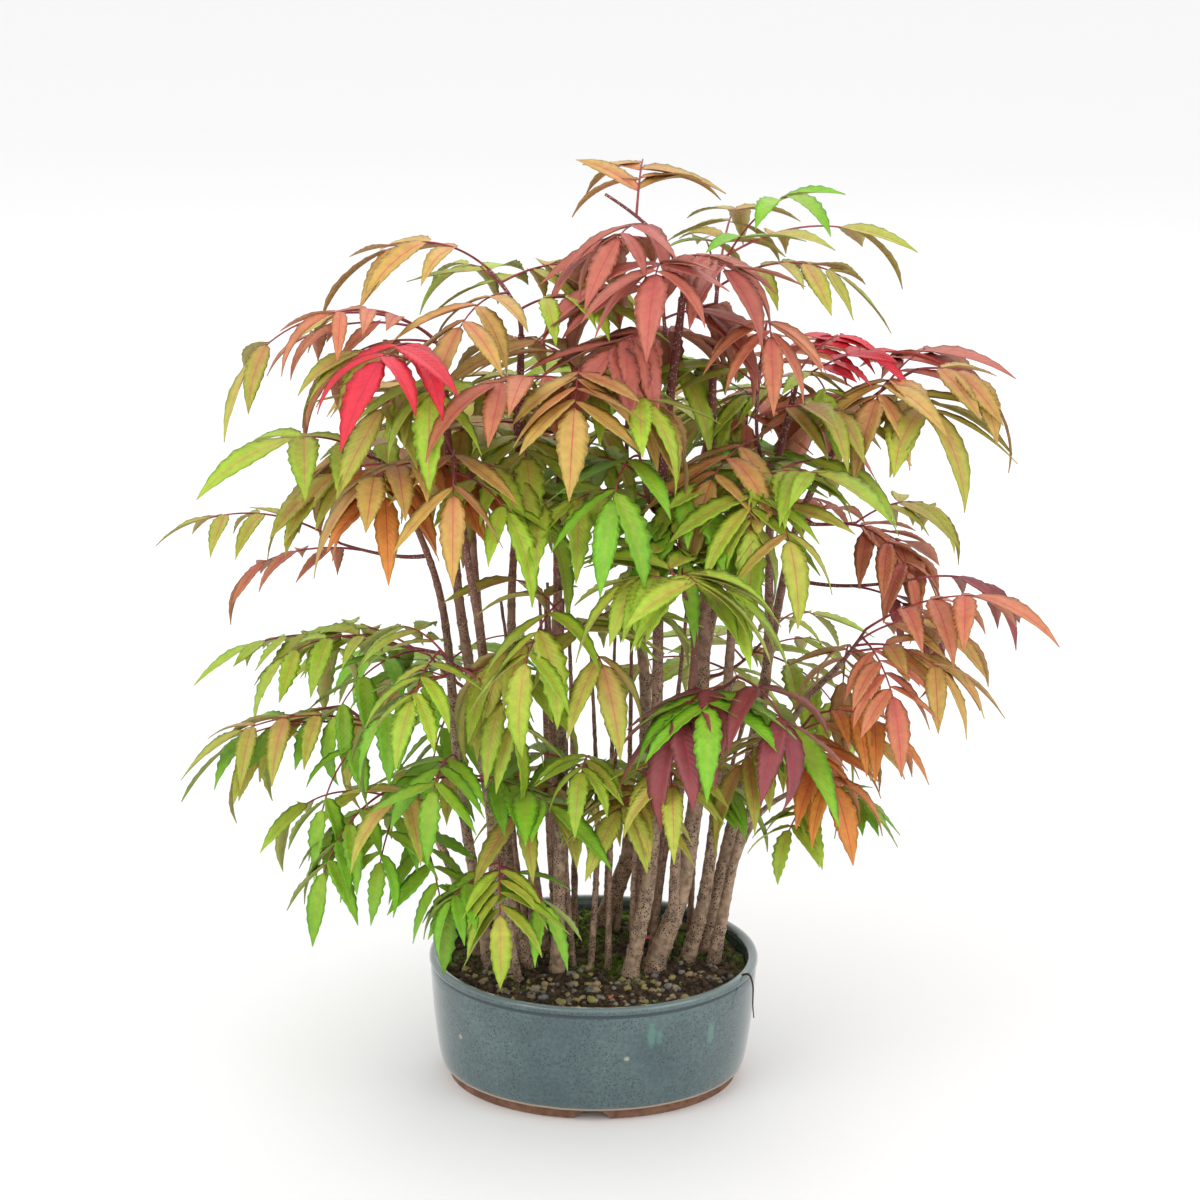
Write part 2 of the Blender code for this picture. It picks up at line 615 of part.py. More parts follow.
def make_foliage(limbs):
    """Every mass gets its shoot first, then they take turns for their sprays."""
    finishes = {name: material("leaf_" + name, colour, 0.5) for name, colour in TINTS.items()}
    masses = []
    for seed, (name, row) in enumerate(MASSES.items(), FIRST_SEED):
        masses.append(Mass("foliage_" + name, row, limbs, seed))
    for k in range(max(mass.count for mass in masses)):
        for mass in masses:
            if k < max(2, round(mass.count * LEAF_SHARE)):
                mass.grow_spray(k)
    for mass in masses:
        fuse(mass.name, mass.pieces, finishes[mass.tint])


def main():
    clear_scene()
    take_space(make_pot())
    take_space(make_soil())
    limbs = make_stems(material("bark", (0.20, 0.14, 0.10), 0.85))
    make_foliage(limbs)


main()
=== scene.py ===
import math
import random

import bpy
import numpy as np
from mathutils import Matrix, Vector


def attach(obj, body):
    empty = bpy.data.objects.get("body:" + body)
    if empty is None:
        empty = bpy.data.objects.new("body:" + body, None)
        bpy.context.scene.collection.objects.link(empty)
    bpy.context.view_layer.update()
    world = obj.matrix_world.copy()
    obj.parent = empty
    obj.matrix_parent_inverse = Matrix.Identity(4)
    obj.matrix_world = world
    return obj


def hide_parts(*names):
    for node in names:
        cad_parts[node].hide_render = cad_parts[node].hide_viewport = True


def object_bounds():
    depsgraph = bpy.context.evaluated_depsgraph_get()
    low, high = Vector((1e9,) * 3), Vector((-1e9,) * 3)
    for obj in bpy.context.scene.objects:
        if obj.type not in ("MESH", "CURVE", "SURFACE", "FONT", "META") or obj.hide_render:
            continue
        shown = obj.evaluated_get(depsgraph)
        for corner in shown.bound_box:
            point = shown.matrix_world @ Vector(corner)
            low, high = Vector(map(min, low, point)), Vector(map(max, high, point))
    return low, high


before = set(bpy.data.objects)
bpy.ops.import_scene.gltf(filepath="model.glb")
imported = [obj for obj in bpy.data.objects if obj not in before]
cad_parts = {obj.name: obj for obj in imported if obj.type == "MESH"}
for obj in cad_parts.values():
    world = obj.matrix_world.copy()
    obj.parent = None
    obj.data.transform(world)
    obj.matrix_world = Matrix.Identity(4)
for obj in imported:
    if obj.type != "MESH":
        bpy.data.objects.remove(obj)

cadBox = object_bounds()
studioScene = bpy.context.scene
fullTurn = 2 * math.pi
goldenShare = 0.618034
perMetre = 1000  # the tables of stems and masses are in millimetres
print("frame loaded")


# A dictionary whose values are also read by a dot.
class Settings(dict):
    __getattr__ = dict.__getitem__



# Small tools for arrays and meshes


# Vectors of length 1.
def unit(vectors):
    return vectors / np.linalg.norm(vectors, axis=-1, keepdims=True)


# Even steps round a full turn.
def turns(count):
    return np.linspace(0, fullTurn, count, endpoint=False)


def newObject(name, data):
    made = bpy.data.objects.new(name, data)
    studioScene.collection.objects.link(made)
    return made


# Points of n bodies, each a stack of closed rings: (n, rings, sides, 3). Quads join ring to ring,
# and a fan to the mean of the first and of the last ring shuts each end.
def closeRings(points):
    count, rings, sides, _ = points.shape
    ends = np.stack([points[:, 0].mean(1), points[:, -1].mean(1)], 1)
    flat = np.concatenate([points.reshape(count, -1, 3), ends], 1)
    grid = np.arange(rings * sides).reshape(rings, sides)
    after = np.roll(grid, -1, 1)
    quads = np.stack([grid[:-1], after[:-1], after[1:], grid[1:]], -1).reshape(-1, 4)
    first = np.stack([np.full(sides, rings * sides), after[0], grid[0]], -1)
    last = np.stack([np.full(sides, rings * sides + 1), grid[-1], after[-1]], -1)
    step = (np.arange(count) * flat.shape[1])[:, None, None]
    return (flat.reshape(-1, 3), (quads + step).reshape(-1, 4),
            (np.concatenate([first, last]) + step).reshape(-1, 3))


# One mesh object from rings; quads come before triangles, and finishOf gives each its finish.
def newPiece(name, rings, finishes, finishOf=None, smooth=True):
    points, quads, triangles = closeRings(rings)
    mesh = bpy.data.meshes.new(name)
    corners = np.concatenate([quads.ravel(), triangles.ravel()])
    sizes = np.repeat([4, 3], [len(quads), len(triangles)])
    starts = np.cumsum(sizes) - sizes
    mesh.vertices.add(len(points))
    mesh.vertices.foreach_set("co", points.astype(np.float32).ravel())
    mesh.loops.add(len(corners))
    mesh.loops.foreach_set("vertex_index", corners.astype(np.int32))
    mesh.polygons.add(len(starts))
    mesh.polygons.foreach_set("loop_start", starts.astype(np.int32))
    if finishOf is not None:
        mesh.polygons.foreach_set("material_index", finishOf.astype(np.int32))
    mesh.polygons.foreach_set("use_smooth", np.full(len(starts), smooth))
    mesh.update(calc_edges=True)
    mesh.validate()
    for finish in finishes:
        mesh.materials.append(finish)
    made = newObject(name, mesh)
    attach(made, "root")
    return made


# A number for each vertex, which finishes read by its name.
def pointValues(piece, name, values):
    attribute = piece.data.attributes.new(name, "FLOAT", "POINT")
    attribute.data.foreach_set("value", values.astype(np.float32).ravel())


# A smooth curve through points: a cubic for each span, whose slope at a point is half the
# step between its two neighbours, with perSpan steps to a span.
def smoothPath(points, perSpan):
    points = np.array(points, float)
    ends = np.vstack([2 * points[0] - points[1], points, 2 * points[-1] - points[-2]])
    t = (np.arange(perSpan) / perSpan)[:, None]
    spans = []
    for a, b, c, d in zip(ends, ends[1:], ends[2:], ends[3:]):
        spans.append(0.5 * (2 * b + (c - a) * t + (2 * a - 5 * b + 4 * c - d) * t ** 2
                            + (3 * b - a - 3 * c + d) * t ** 3))
    return np.vstack([*spans, points[-1:]])


# Rings of n tubes: path + radius (cos a across + sin a other), both square to the path. Radii are
# given for each tube, ring and side.
def tubeRings(paths, radii):
    tangent = unit(np.gradient(paths, axis=1))
    reach = np.abs(unit(paths[:, -1] - paths[:, 0]))
    guide = np.eye(3)[reach.argmin(1)][:, None, :]
    across = unit(guide - tangent * (tangent * guide).sum(-1, keepdims=True))
    other = np.cross(tangent, across)
    turn = turns(radii.shape[-1])[:, None]
    ring = np.cos(turn) * across[:, :, None, :] + np.sin(turn) * other[:, :, None, :]
    return paths[:, :, None, :] + radii[..., None] * ring


# Radii of round tubes that go evenly from foot to tip.
def evenTaper(count, foot, tip, rings, sides):
    return np.linspace(foot, tip, rings)[None, :, None] * np.ones((count, 1, sides))


def newTubes(name, paths, radii, finish):
    return newPiece(name, tubeRings(paths, radii), [finish])


# Smooth bumps from about -1 to 1: a sum of sin(2 pi along / wavelength + shift), where each wave
# has a seeded heading and along is the way in it.
def waves(x, y, size, seed, count=24):
    rng = np.random.default_rng(seed)
    total = np.zeros(np.broadcast(x, y).shape)
    for _ in range(count):
        heading, pitch, shift = rng.uniform(0, fullTurn), rng.uniform(0.6, 1.8), rng.uniform(0, fullTurn)
        along = x * math.cos(heading) + y * math.sin(heading)
        total += np.sin(fullTurn / (size * pitch) * along + shift)
    return total / (0.5 * count) ** 0.5 / 1.6


# Small tools for finishes


# A node with its settings and inputs: a socket is linked, anything else is its fixed value.
def put(tree, kind, inputs, **settings):
    made = tree.nodes.new("ShaderNode" + kind)
    for key, value in settings.items():
        setattr(made, key, value)
    for label, value in inputs.items():
        if isinstance(value, bpy.types.NodeSocket):
            tree.links.new(value, made.inputs[label])
        else:
            made.inputs[label].default_value = value
    return made


def maths(tree, operation, *values):
    return put(tree, "Math", dict(enumerate(values)), operation=operation).outputs[0]


# The colour sockets of a Mix node are its inputs 6 and 7 and its output 2.
def mixed(tree, factor, low, high, blend="MIX"):
    return put(tree, "Mix", {0: factor, 6: low, 7: high}, data_type="RGBA", blend_type=blend).outputs[2]


def ranged(tree, value, low, high, toLow=0.0, toHigh=1.0):
    return put(tree, "MapRange", {"Value": value, "From Min": low, "From Max": high,
                                  "To Min": toLow, "To Max": toHigh}).outputs[0]


def noise(tree, place, scale, detail=2.0):
    return put(tree, "TexNoise", {"Vector": place, "Scale": scale, "Detail": detail}).outputs[0]


def objectPlace(tree):
    return put(tree, "TexCoord", {}).outputs["Object"]


def painted(tree, name):
    return put(tree, "Attribute", {}, attribute_name=name).outputs["Fac"]


def grey(value):
    return (value, value, value, 1.0)


# A node group: a tuple makes a colour input, a number a plain one.
def newGroup(name, inputs, **outputs):
    group = bpy.data.node_groups.new(name, "ShaderNodeTree")
    for label, value in inputs.items():
        kind = "NodeSocketColor" if isinstance(value, tuple) else "NodeSocketFloat"
        group.interface.new_socket(label, in_out="INPUT", socket_type=kind).default_value = value
    for label, kind in outputs.items():
        group.interface.new_socket(label, in_out="OUTPUT", socket_type="NodeSocket" + kind)
    return group, group.nodes.new("NodeGroupInput").outputs, group.nodes.new("NodeGroupOutput").inputs


def placed(tree, group, **inputs):
    return put(tree, "Group", inputs, node_tree=group).outputs


# Mottle: cloudy noise from one colour to another, and the noise as a height.
def makeMottle():
    inputs = dict(Scale=60.0, Low=grey(0.0), High=grey(0.0), From=0.35, To=0.65)
    group, given, out = newGroup("mottle", inputs, Colour="Color", Height="Float")
    cloud = noise(group, objectPlace(group), given["Scale"], 5.0)
    share = ranged(group, cloud, given["From"], given["To"])
    group.links.new(mixed(group, share, given["Low"], given["High"]), out["Colour"])
    group.links.new(cloud, out["Height"])
    return group


# Specks: dots at the middles of seeded cells, kept only where a second noise is high.
def makeSpecks():
    inputs = dict(Scale=300.0, Size=0.25, Scarcity=0.5)
    group, given, out = newGroup("specks", inputs, Mask="Float")
    place = objectPlace(group)
    cells = put(group, "TexVoronoi", {"Vector": place, "Scale": given["Scale"]})
    dot = maths(group, "LESS_THAN", cells.outputs["Distance"], given["Size"])
    kept = maths(group, "GREATER_THAN", noise(group, place, 40.0, 3.0), given["Scarcity"])
    group.links.new(maths(group, "MULTIPLY", dot, kept), out["Mask"])
    return group


mottle, specks = makeMottle(), makeSpecks()


# A material, its nodes and its shader's inputs; fixed sets more of them.
def newFinish(name, roughness, **fixed):
    made = bpy.data.materials.new(name)
    made.use_nodes = True
    shader = made.node_tree.nodes["Principled BSDF"].inputs
    shader["Roughness"].default_value = roughness
    for label, value in fixed.items():
        shader[label.replace("_", " ")].default_value = value
    return made, made.node_tree, shader


def bump(tree, shader, height, distance, strength=1.0):
    made = put(tree, "Bump", {"Height": height, "Distance": distance, "Strength": strength})
    tree.links.new(made.outputs[0], shader["Normal"])


# Pot

pot = Settings(
    lipHalves=(0.106, 0.096), footHalves=(0.093, 0.077), height=0.083, segments=192, creaseAngle=50,
    archHalfWidth=0.0102, archHeight=0.0058, archDepth=0.012, archStep=0.0002, archRows=4,
    # rows: share of the way from the lip's oval to the foot's, inset, height or drop below the lip
    wallRows=(
        (1, 0, 0), (1, 0, 0.0015), (1, 0, 0.0035), (1, 0, 0.0052), (0.85, 0, 0.0066), (0.66, 0, 0.0085),
        (0.57, 0, 0.0118), (0.5, 0, 0.0155), (0.39, 0, 0.0245), (0.3, 0, 0.034), (0.2, 0, 0.046),
        (0.12, 0.0002, 0.058), (0.07, 0.0002, 0.069)),
    lipRows=(
        (0.05, 0.0003, 0.0075), (0.045, 0.0008, 0.0064), (0.04, 0.0012, 0.0056), (0.02, 0.0003, 0.0047),
        (0, 0, 0.004), (0, 0, 0.0022), (0, 0.0006, 0.001), (0, 0.0014, 0.0003), (0, 0.0024, 0),
        (0, 0.0036, 0), (0, 0.0046, 0.0004), (0.01, 0.006, 0.0014), (0.02, 0.0065, 0.003)),
    insideRows=((0.44, 0.0065, 0.02), (0.72, 0.0085, 0.009)),
    footTop=0.0088, footLine=0.0102, wander=0.0012, blur=0.0008,
    # where the painted highlight on the lip and the painted shade in the crease under it lie, down from the
    # top
    lipFrom=0.0026, lipFull=0.0004, lipShare=0.8, creaseDrop=0.006, creaseHalf=0.0011,
    glossy=0.2, dry=0.75, coat=0.6, dripStretch=0.3,
    glaze=(0.052, 0.094, 0.102, 1), glazeLight=(0.09, 0.143, 0.148, 1),
    # the dark tone colours both the specks and the painted shade under the lip; the lip tone is a painted
    # highlight
    glazeDark=(0.022, 0.044, 0.052, 1), lip=(0.2, 0.27, 0.27, 1),
    clay=(0.155, 0.07, 0.04, 1), clayLight=(0.26, 0.13, 0.08, 1), sand=(0.42, 0.33, 0.22, 1),
    # kind, middle on the wall (a drip's height is stretched), reach, colour
    marks=(
        ("drip", (0.0365, -0.088, 0.019), 0.0034, (0.085, 0.2, 0.17, 1)),
        ("drip", (0.042, -0.087, 0.0176), 0.0026, (0.085, 0.2, 0.17, 1)),
        ("drip", (0.0746, -0.0655, 0.0162), 0.0036, (0.09, 0.2, 0.17, 1)),
        ("chip", (0.0096, -0.0905, 0.0505), 0.0022, (0.4, 0.36, 0.26, 1)),
        ("chip", (0.021, -0.089, 0.048), 0.0025, (0.42, 0.38, 0.27, 1)),
        ("chip", (-0.0835, -0.0535, 0.045), 0.0024, (0.38, 0.33, 0.24, 1))),
)


# One ring of the pot: (halfWidth cos a, halfDepth sin a), where both halves go by share from the
# lip's to the foot's and then inwards by the inset.
def potRing(share, inset, height):
    turn = turns(pot.segments)
    lip, foot = np.array(pot.lipHalves), np.array(pot.footHalves)
    halfWidth, halfDepth = lip + share * (foot - lip) - inset
    return np.stack([halfWidth * np.cos(turn), halfDepth * np.sin(turn), np.full(len(turn), height)], 1)


# The foot's arch, front and back: height (1 - (x / halfWidth)^2)^0.5, half an ellipse over X.
def archLift(ring):
    share = np.clip(np.abs(ring[:, 0]) / pot.archHalfWidth, 0, 1)
    lifted = ring.copy()
    lifted[:, 2] = np.maximum(ring[:, 2], pot.archHeight * np.sqrt(1 - share ** 2))
    return lifted


# Cloudy teal with specks, drips and chips, a pale painted highlight on the lip with painted shade in the
# crease under it, a bare foot.
def glazeFinish():
    made, tree, shader = newFinish("glaze", 0.22, Coat_Weight=pot.coat, Coat_Roughness=0.08)
    place, top = objectPlace(tree), pot.height
    high = put(tree, "SeparateXYZ", {"Vector": place}).outputs["Z"]
    cloud = placed(tree, mottle, Scale=26.0, Low=pot.glaze, High=pot.glazeLight, From=0.4, To=0.75)
    fine = placed(tree, mottle, Scale=420.0, Low=grey(0.8), High=grey(1.2))
    colour = mixed(tree, 1.0, cloud["Colour"], fine["Colour"], "MULTIPLY")
    dots = placed(tree, specks, Scale=520.0, Size=0.28, Scarcity=0.45)
    colour = mixed(tree, dots["Mask"], colour, pot.glazeDark)
    # drips are measured with Z flattened, so they come out long; noise tears the edges
    stretch = put(tree, "Mapping", {"Vector": place, "Scale": (1.0, 1.0, pot.dripStretch)}).outputs[0]
    ragged = noise(tree, place, 330.0, 3.0)
    for kind, middle, reach, tone in pot.marks:
        there = put(tree, "VectorMath", {0: stretch if kind == "drip" else place, 1: middle},
                    operation="DISTANCE").outputs["Value"]
        torn = maths(tree, "MULTIPLY_ADD", ragged, reach, there)
        colour = mixed(tree, ranged(tree, torn, 1.45 * reach, 1.05 * reach), colour, tone)
    # Painted highlight: a pale band along the lip. Painted shade: a dark band in the crease under the lip.
    lip = ranged(tree, high, top - pot.lipFrom, top - pot.lipFull, 0.0, pot.lipShare)
    creaseShade = maths(tree, "COMPARE", high, top - pot.creaseDrop, pot.creaseHalf)
    # a line of bare sand, then the brown clay of the foot
    edge = maths(tree, "MULTIPLY_ADD", noise(tree, place, 60.0), pot.wander, high)
    line = ranged(tree, edge, pot.footLine + pot.blur, pot.footLine)
    clay = placed(tree, mottle, Scale=180.0, Low=pot.clay, High=pot.clayLight)
    foot = ranged(tree, edge, pot.footTop + pot.blur, pot.footTop)
    for mask, tone in ((lip, pot.lip), (creaseShade, pot.glazeDark), (line, pot.sand), (foot, clay["Colour"])):
        colour = mixed(tree, mask, colour, tone)
    tree.links.new(colour, shader["Base Color"])
    tree.links.new(ranged(tree, foot, 0, 1, pot.glossy, pot.dry), shader["Roughness"])
    tree.links.new(ranged(tree, foot, 0, 1, pot.coat, 0.0), shader["Coat Weight"])
    bump(tree, shader, fine["Height"], 0.0002, 0.5)
    return made


# The pot is one skin: under the arch, up the wall, over the lip and down inside.
def makePot():
    lip = ((share, inset, pot.height - drop) for share, inset, drop in pot.lipRows)
    rows = [*pot.wallRows, *lip, *pot.insideRows]
    rings = [potRing(*row) for row in rows]
    rings[:pot.archRows] = [archLift(ring) for ring in rings[:pot.archRows]]
    ceiling = archLift(potRing(1.0, pot.archDepth, 0.0))
    rings = [potRing(1.0, pot.archDepth + pot.archStep, 0.0), ceiling, *rings]
    made = newPiece("pot_glazed", np.array([rings]), [glazeFinish()])
    made.data.set_sharp_from_angle(angle=math.radians(pot.creaseAngle))
    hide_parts("pot")


makePot()
print("pot made")

# Soil with crumbs, pebbles and moss

soil = Settings(
    level=0.0765, edgeDrop=0.003, inset=0.0078, rings=70, segments=220, hub=0.012,
    mound=0.002, roughness=0.0011, floor=0.012, floorShare=0.8,
    coarse=(0.02, 5), fine=(0.006, 6),  # wavelength and seed of the two sizes of lumps
    crumbs=1500, crumbSeed=21, crumbSizes=(0.0007, 0.0024), crumbFlatness=0.75,
    pebbles=240, pebbleSeed=31, pebbleSizes=(0.0011, 0.0031), pebbleFlatness=0.7,
    lumpGrid=(5, 7), lumpPole=0.35, lumpPush=(0.72, 1.25), lumpStretch=(0.75, 1.25),
    lumpRise=0.25,
    tufts=1500, blades=5, tuftSeed=41, bladeLean=(0.1, 0.9), bladeSize=(0.0016, 0.0036),
    bladeSunk=0.0006, bladeRadii=(0.0003, 0.00028, 0.00004),
    mossPatches=(0.05, 9), mossBack=7.0, mossFrom=-0.022, mossSides=3.0, mossMiddle=0.005,
    dark=(0.02, 0.012, 0.007, 1), brown=(0.085, 0.052, 0.028, 1), crumb=(0.12, 0.075, 0.04, 1),
    mossDark=(0.035, 0.075, 0.008, 1), mossLight=(0.2, 0.32, 0.03, 1),
    pebbleKinds=dict(
        tan=((0.24, 0.17, 0.09, 1), (0.46, 0.36, 0.22, 1)),
        grey=((0.11, 0.11, 0.1, 1), (0.3, 0.29, 0.27, 1)),
        mustard=((0.26, 0.22, 0.06, 1), (0.42, 0.38, 0.14, 1))),
)
soilHalfWidth, soilHalfDepth = np.array(pot.lipHalves) - soil.inset


# A place by its share of the way to the wall, and its turn.
def soilOval(share, turn):
    return share * soilHalfWidth * np.cos(turn), share * soilHalfDepth * np.sin(turn)


# Height of the soil: level - edgeDrop r^6 + mound (1 - r^2), r being 1 at the wall, and lumps on it.
def soilHeight(x, y):
    reach = np.clip(np.sqrt((x / soilHalfWidth) ** 2 + (y / soilHalfDepth) ** 2), 0, 1)
    low = soil.level - soil.edgeDrop * reach ** 6 + soil.mound * (1 - reach ** 2)
    return low + soil.roughness * (waves(x, y, *soil.coarse) + 0.5 * waves(x, y, *soil.fine))


# Where moss grows: patches, with more behind and in the middle than in front and at the sides.
def mossShare(x, y):
    sides = soil.mossSides * np.abs(x - soil.mossMiddle)
    return 0.5 * waves(x, y, *soil.mossPatches) + soil.mossBack * (y - soil.mossFrom) - sides


def soilFinish():
    made, tree, shader = newFinish("soil", 0.92)
    base = placed(tree, mottle, Scale=170.0, Low=soil.dark, High=soil.brown)
    green = placed(tree, mottle, Scale=500.0, Low=soil.mossDark, High=soil.mossLight)
    colour = mixed(tree, painted(tree, "moss"), base["Colour"], green["Colour"])
    tree.links.new(colour, shader["Base Color"])
    bump(tree, shader, base["Height"], 0.0012)
    return made


# The bed: rings over the soil's oval at the soil's height, with a smaller ring as its floor.
def makeSoil():
    x, y = soilOval(np.linspace(1, soil.hub, soil.rings)[:, None], turns(soil.segments))
    top = np.stack([x, y, soilHeight(x, y)], -1)
    low = np.full_like(x[:1], soil.floor)
    floor = np.stack([soil.floorShare * x[:1], soil.floorShare * y[:1], low], -1)
    made = newPiece("soil_bed", np.concatenate([floor, top])[None], [soilFinish()])
    moss = np.clip(1.6 * mossShare(x, y) + 0.3, 0, 1)
    moss = np.concatenate([np.zeros(soil.segments), moss.ravel(), [0, moss[-1].mean()]])
    pointValues(made, "moss", moss)
    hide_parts("soil")


# Seeded places, even over the soil's oval, kept where wanted says so.
def scatter(count, seed, wanted):
    rng = np.random.default_rng(seed)
    turn = rng.uniform(0, fullTurn, count * 6)
    x, y = soilOval(np.sqrt(rng.uniform(0, 0.93, count * 6)), turn)
    kept = wanted(x, y, rng)
    return x[kept][:count], y[kept][:count], rng


# Lumps: a ball (sin p cos a, sin p sin a, cos p) of a few rings, each point pushed in or out by a
# seeded share, then stretched, turned about Z and flattened.
def lumps(x, y, sizes, flatness, rng):
    rings, sides = soil.lumpGrid
    polar = np.linspace(soil.lumpPole, math.pi - soil.lumpPole, rings)[::-1, None]
    turn = turns(sides)
    ball = np.stack([np.sin(polar) * np.cos(turn), np.sin(polar) * np.sin(turn),
                     np.cos(polar) + 0 * turn], -1)
    push = rng.uniform(*soil.lumpPush, (len(x), rings, sides, 1))
    spin = rng.uniform(0, fullTurn, len(x))[:, None, None]
    stretch = rng.uniform(*soil.lumpStretch, (len(x), 1, 1))
    shape = ball[None] * push * sizes[:, None, None, None]
    flatX, flatY = shape[..., 0] * stretch, shape[..., 1]
    turned = np.stack([flatX * np.cos(spin) - flatY * np.sin(spin),
                       flatX * np.sin(spin) + flatY * np.cos(spin), shape[..., 2] * flatness], -1)
    middle = np.stack([x, y, soilHeight(x, y) + soil.lumpRise * flatness * sizes], -1)
    return turned + middle[:, None, None, :]


def lumpFinish(name, low, high, roughness):
    made, tree, shader = newFinish(name, roughness)
    colour = placed(tree, mottle, Scale=150.0, Low=low, High=high)
    tree.links.new(colour["Colour"], shader["Base Color"])
    bump(tree, shader, colour["Height"], 0.0006)
    return made


# Crumbs lie where there is little moss, and pebbles of three kinds mostly in front.
def makeCrumbs():
    x, y, rng = scatter(soil.crumbs, soil.crumbSeed,
                        lambda x, y, rng: rng.uniform(0, 1, len(x)) > mossShare(x, y))
    body = lumps(x, y, rng.uniform(*soil.crumbSizes, len(x)), soil.crumbFlatness, rng)
    newPiece("soil_crumbs", body, [lumpFinish("crumb", soil.dark, soil.crumb, 0.95)],
             smooth=False)
    for seed, (name, tones) in enumerate(soil.pebbleKinds.items(), soil.pebbleSeed):
        x, y, rng = scatter(soil.pebbles // 3, seed,
                            lambda x, y, rng: y < rng.normal(-0.045, 0.035, len(x)))
        body = lumps(x, y, rng.uniform(*soil.pebbleSizes, len(x)), soil.pebbleFlatness, rng)
        newPiece("pebbles_" + name, body, [lumpFinish("pebble_" + name, *tones, 0.8)])


# Moss: each blade is a three-sided spike, foot + size t out, that leans out from its tuft.
def makeMoss():
    x, y, rng = scatter(soil.tufts, soil.tuftSeed,
                        lambda x, y, rng: mossShare(x, y) > rng.uniform(-0.15, 0.45, len(x)))
    x, y = np.repeat(x, soil.blades), np.repeat(y, soil.blades)
    foot = np.stack([x, y, soilHeight(x, y) - soil.bladeSunk], -1)
    heading, lean = rng.uniform(0, fullTurn, len(x)), rng.uniform(*soil.bladeLean, len(x))
    out = unit(np.stack([np.cos(heading) * lean, np.sin(heading) * lean, np.ones(len(x))], -1))
    size = rng.uniform(*soil.bladeSize, len(x))[:, None, None]
    paths = foot[:, None] + size * np.array([0, 0.5, 1.0])[:, None] * out[:, None]
    radii = np.array(soil.bladeRadii)[None, :, None] * np.ones((len(x), 1, 3))
    newTubes("moss_tufts", paths, radii, lumpFinish("moss", soil.mossDark, soil.mossLight, 0.8))


makeSoil()
makeCrumbs()
makeMoss()
print("soil, crumbs and moss made")

# Stems: foot on the soil, points it leans through, foot radius, tip radius

stems = dict(
    stem_low_left=[(-74, 4), (-89, -8, 134), (-110, -27, 194), (-130, -40, 235), 3.6, 1.8],
    stem_outer_left=[(-66, -13), (-84, -14, 190), (-95, -17, 315), (-114, -19, 378), (-124, -20, 401), 4, 1.8],
    stem_front_left=[(-54, -25), (-62, -30, 139), (-69, -46, 289), (-78, -55, 359), (-85, -60, 409), 4.2, 2],
    stem_tall_left=[(-41, -14), (-58, -17, 140), (-80, -24, 290), (-87, -27, 352), (-93, -30, 476), 4.8, 2.1],
    stem_middle_left=[(-31, 3), (-50, 2, 226), (-53, -4, 315), (-49, -10, 395), (-47, -15, 490), 3.6, 2],
    stem_middle=[(-23, -27), (-21, -34, 241), (-24, -42, 331), (-23, -49, 405), (-14, -55, 459), 4.2, 1.8],
    stem_back_centre=[(4, 50), (29, 53, 154), (32, 57, 240), (23, 59, 314), (19, 64, 380), 5.6, 2.2],
    stem_main=[(22, -34), (36, -34, 158), (38, -31, 263), (39, -25, 397), (50, -20, 515), 4.6, 2.3],
    trunk_forked=[(37, -21), (57, -18, 140), (66, -13, 232), (68, -3, 346), (71, 5, 500), 6, 2],
    bough_fork_front=[(50, -24, 116), (53, -50, 218), (59, -87, 311), (53, -107, 350), 3.4, 1.9],
    stem_right=[(60, -2), (71.5, -3, 126), (80, -10, 226), (85, -18, 325), (88, -30, 398), 4.4, 1.9],
    stem_tall_right=[(70, 12), (89, 16, 167), (108, 22, 257), (109, 22, 378), (121, 20, 445), 4.2, 2],
    stem_leaning_right=[(73, 35), (98, 42, 188), (120, 43, 326), (133, 42, 374), (157, 36, 423), 4.2, 2],
    stem_slanting_right=[(77, -2), (94, -12, 170), (121, -34, 250), (150, -58, 298), 3.6, 1.8],
    bough_wavy=[(81, 22), (88.5, 12, 131), (103, 2, 173), (121, -18, 197), (132, -36, 204), 2.4, 1.4],
    stem_back_left=[(-50, 36), (-64, 56, 193), (-78, 80, 294), (-84, 112, 390), 4.4, 1.9],
    stem_back_middle=[(-22, 50), (-29, 72, 200), (-24, 100, 315), (-16, 128, 393), 4.6, 1.9],
    stem_back_right=[(34, 66), (60, 84, 191), (82, 104, 313), (96, 122, 405), 4.8, 1.9],
    sprout_front=[(-47, -40), (-52, -60, 120), (-56, -82, 165), 2.2, 1.4],
)

bark = Settings(
    sides=14, perSpan=64, footZ=0.0745, flareHeight=0.018, flareShare=0.32, firstSeed=301,
    ridge=0.075, ridgeFolds=(2, 3, 5, 6), ridgeTwist=60, ridgeSwing=(120, 420),
    nodePitch=0.014, nodeJitter=0.004, nodeSwell=0.13, nodeLength=0.0012,
    youngFrom=0.24, youngOver=0.16,
    pale=(0.46, 0.32, 0.21, 1), deep=(0.2, 0.13, 0.09, 1), fleck=(0.04, 0.025, 0.02, 1),
    young=(0.2, 0.055, 0.055, 1), lenticel=(0.5, 0.4, 0.3, 1),
    thinStems=21, thinRadii=(0.0024, 0.001), thinSeed=77, thinSides=8,
    thinPerSpan=40, thinGrain=0.08, thinMiddle=0.012, thinHalves=(0.058, 0.034),
    thinRise=(0.14, 0.26), thinBend=0.006, thinYoung=0.6,
)


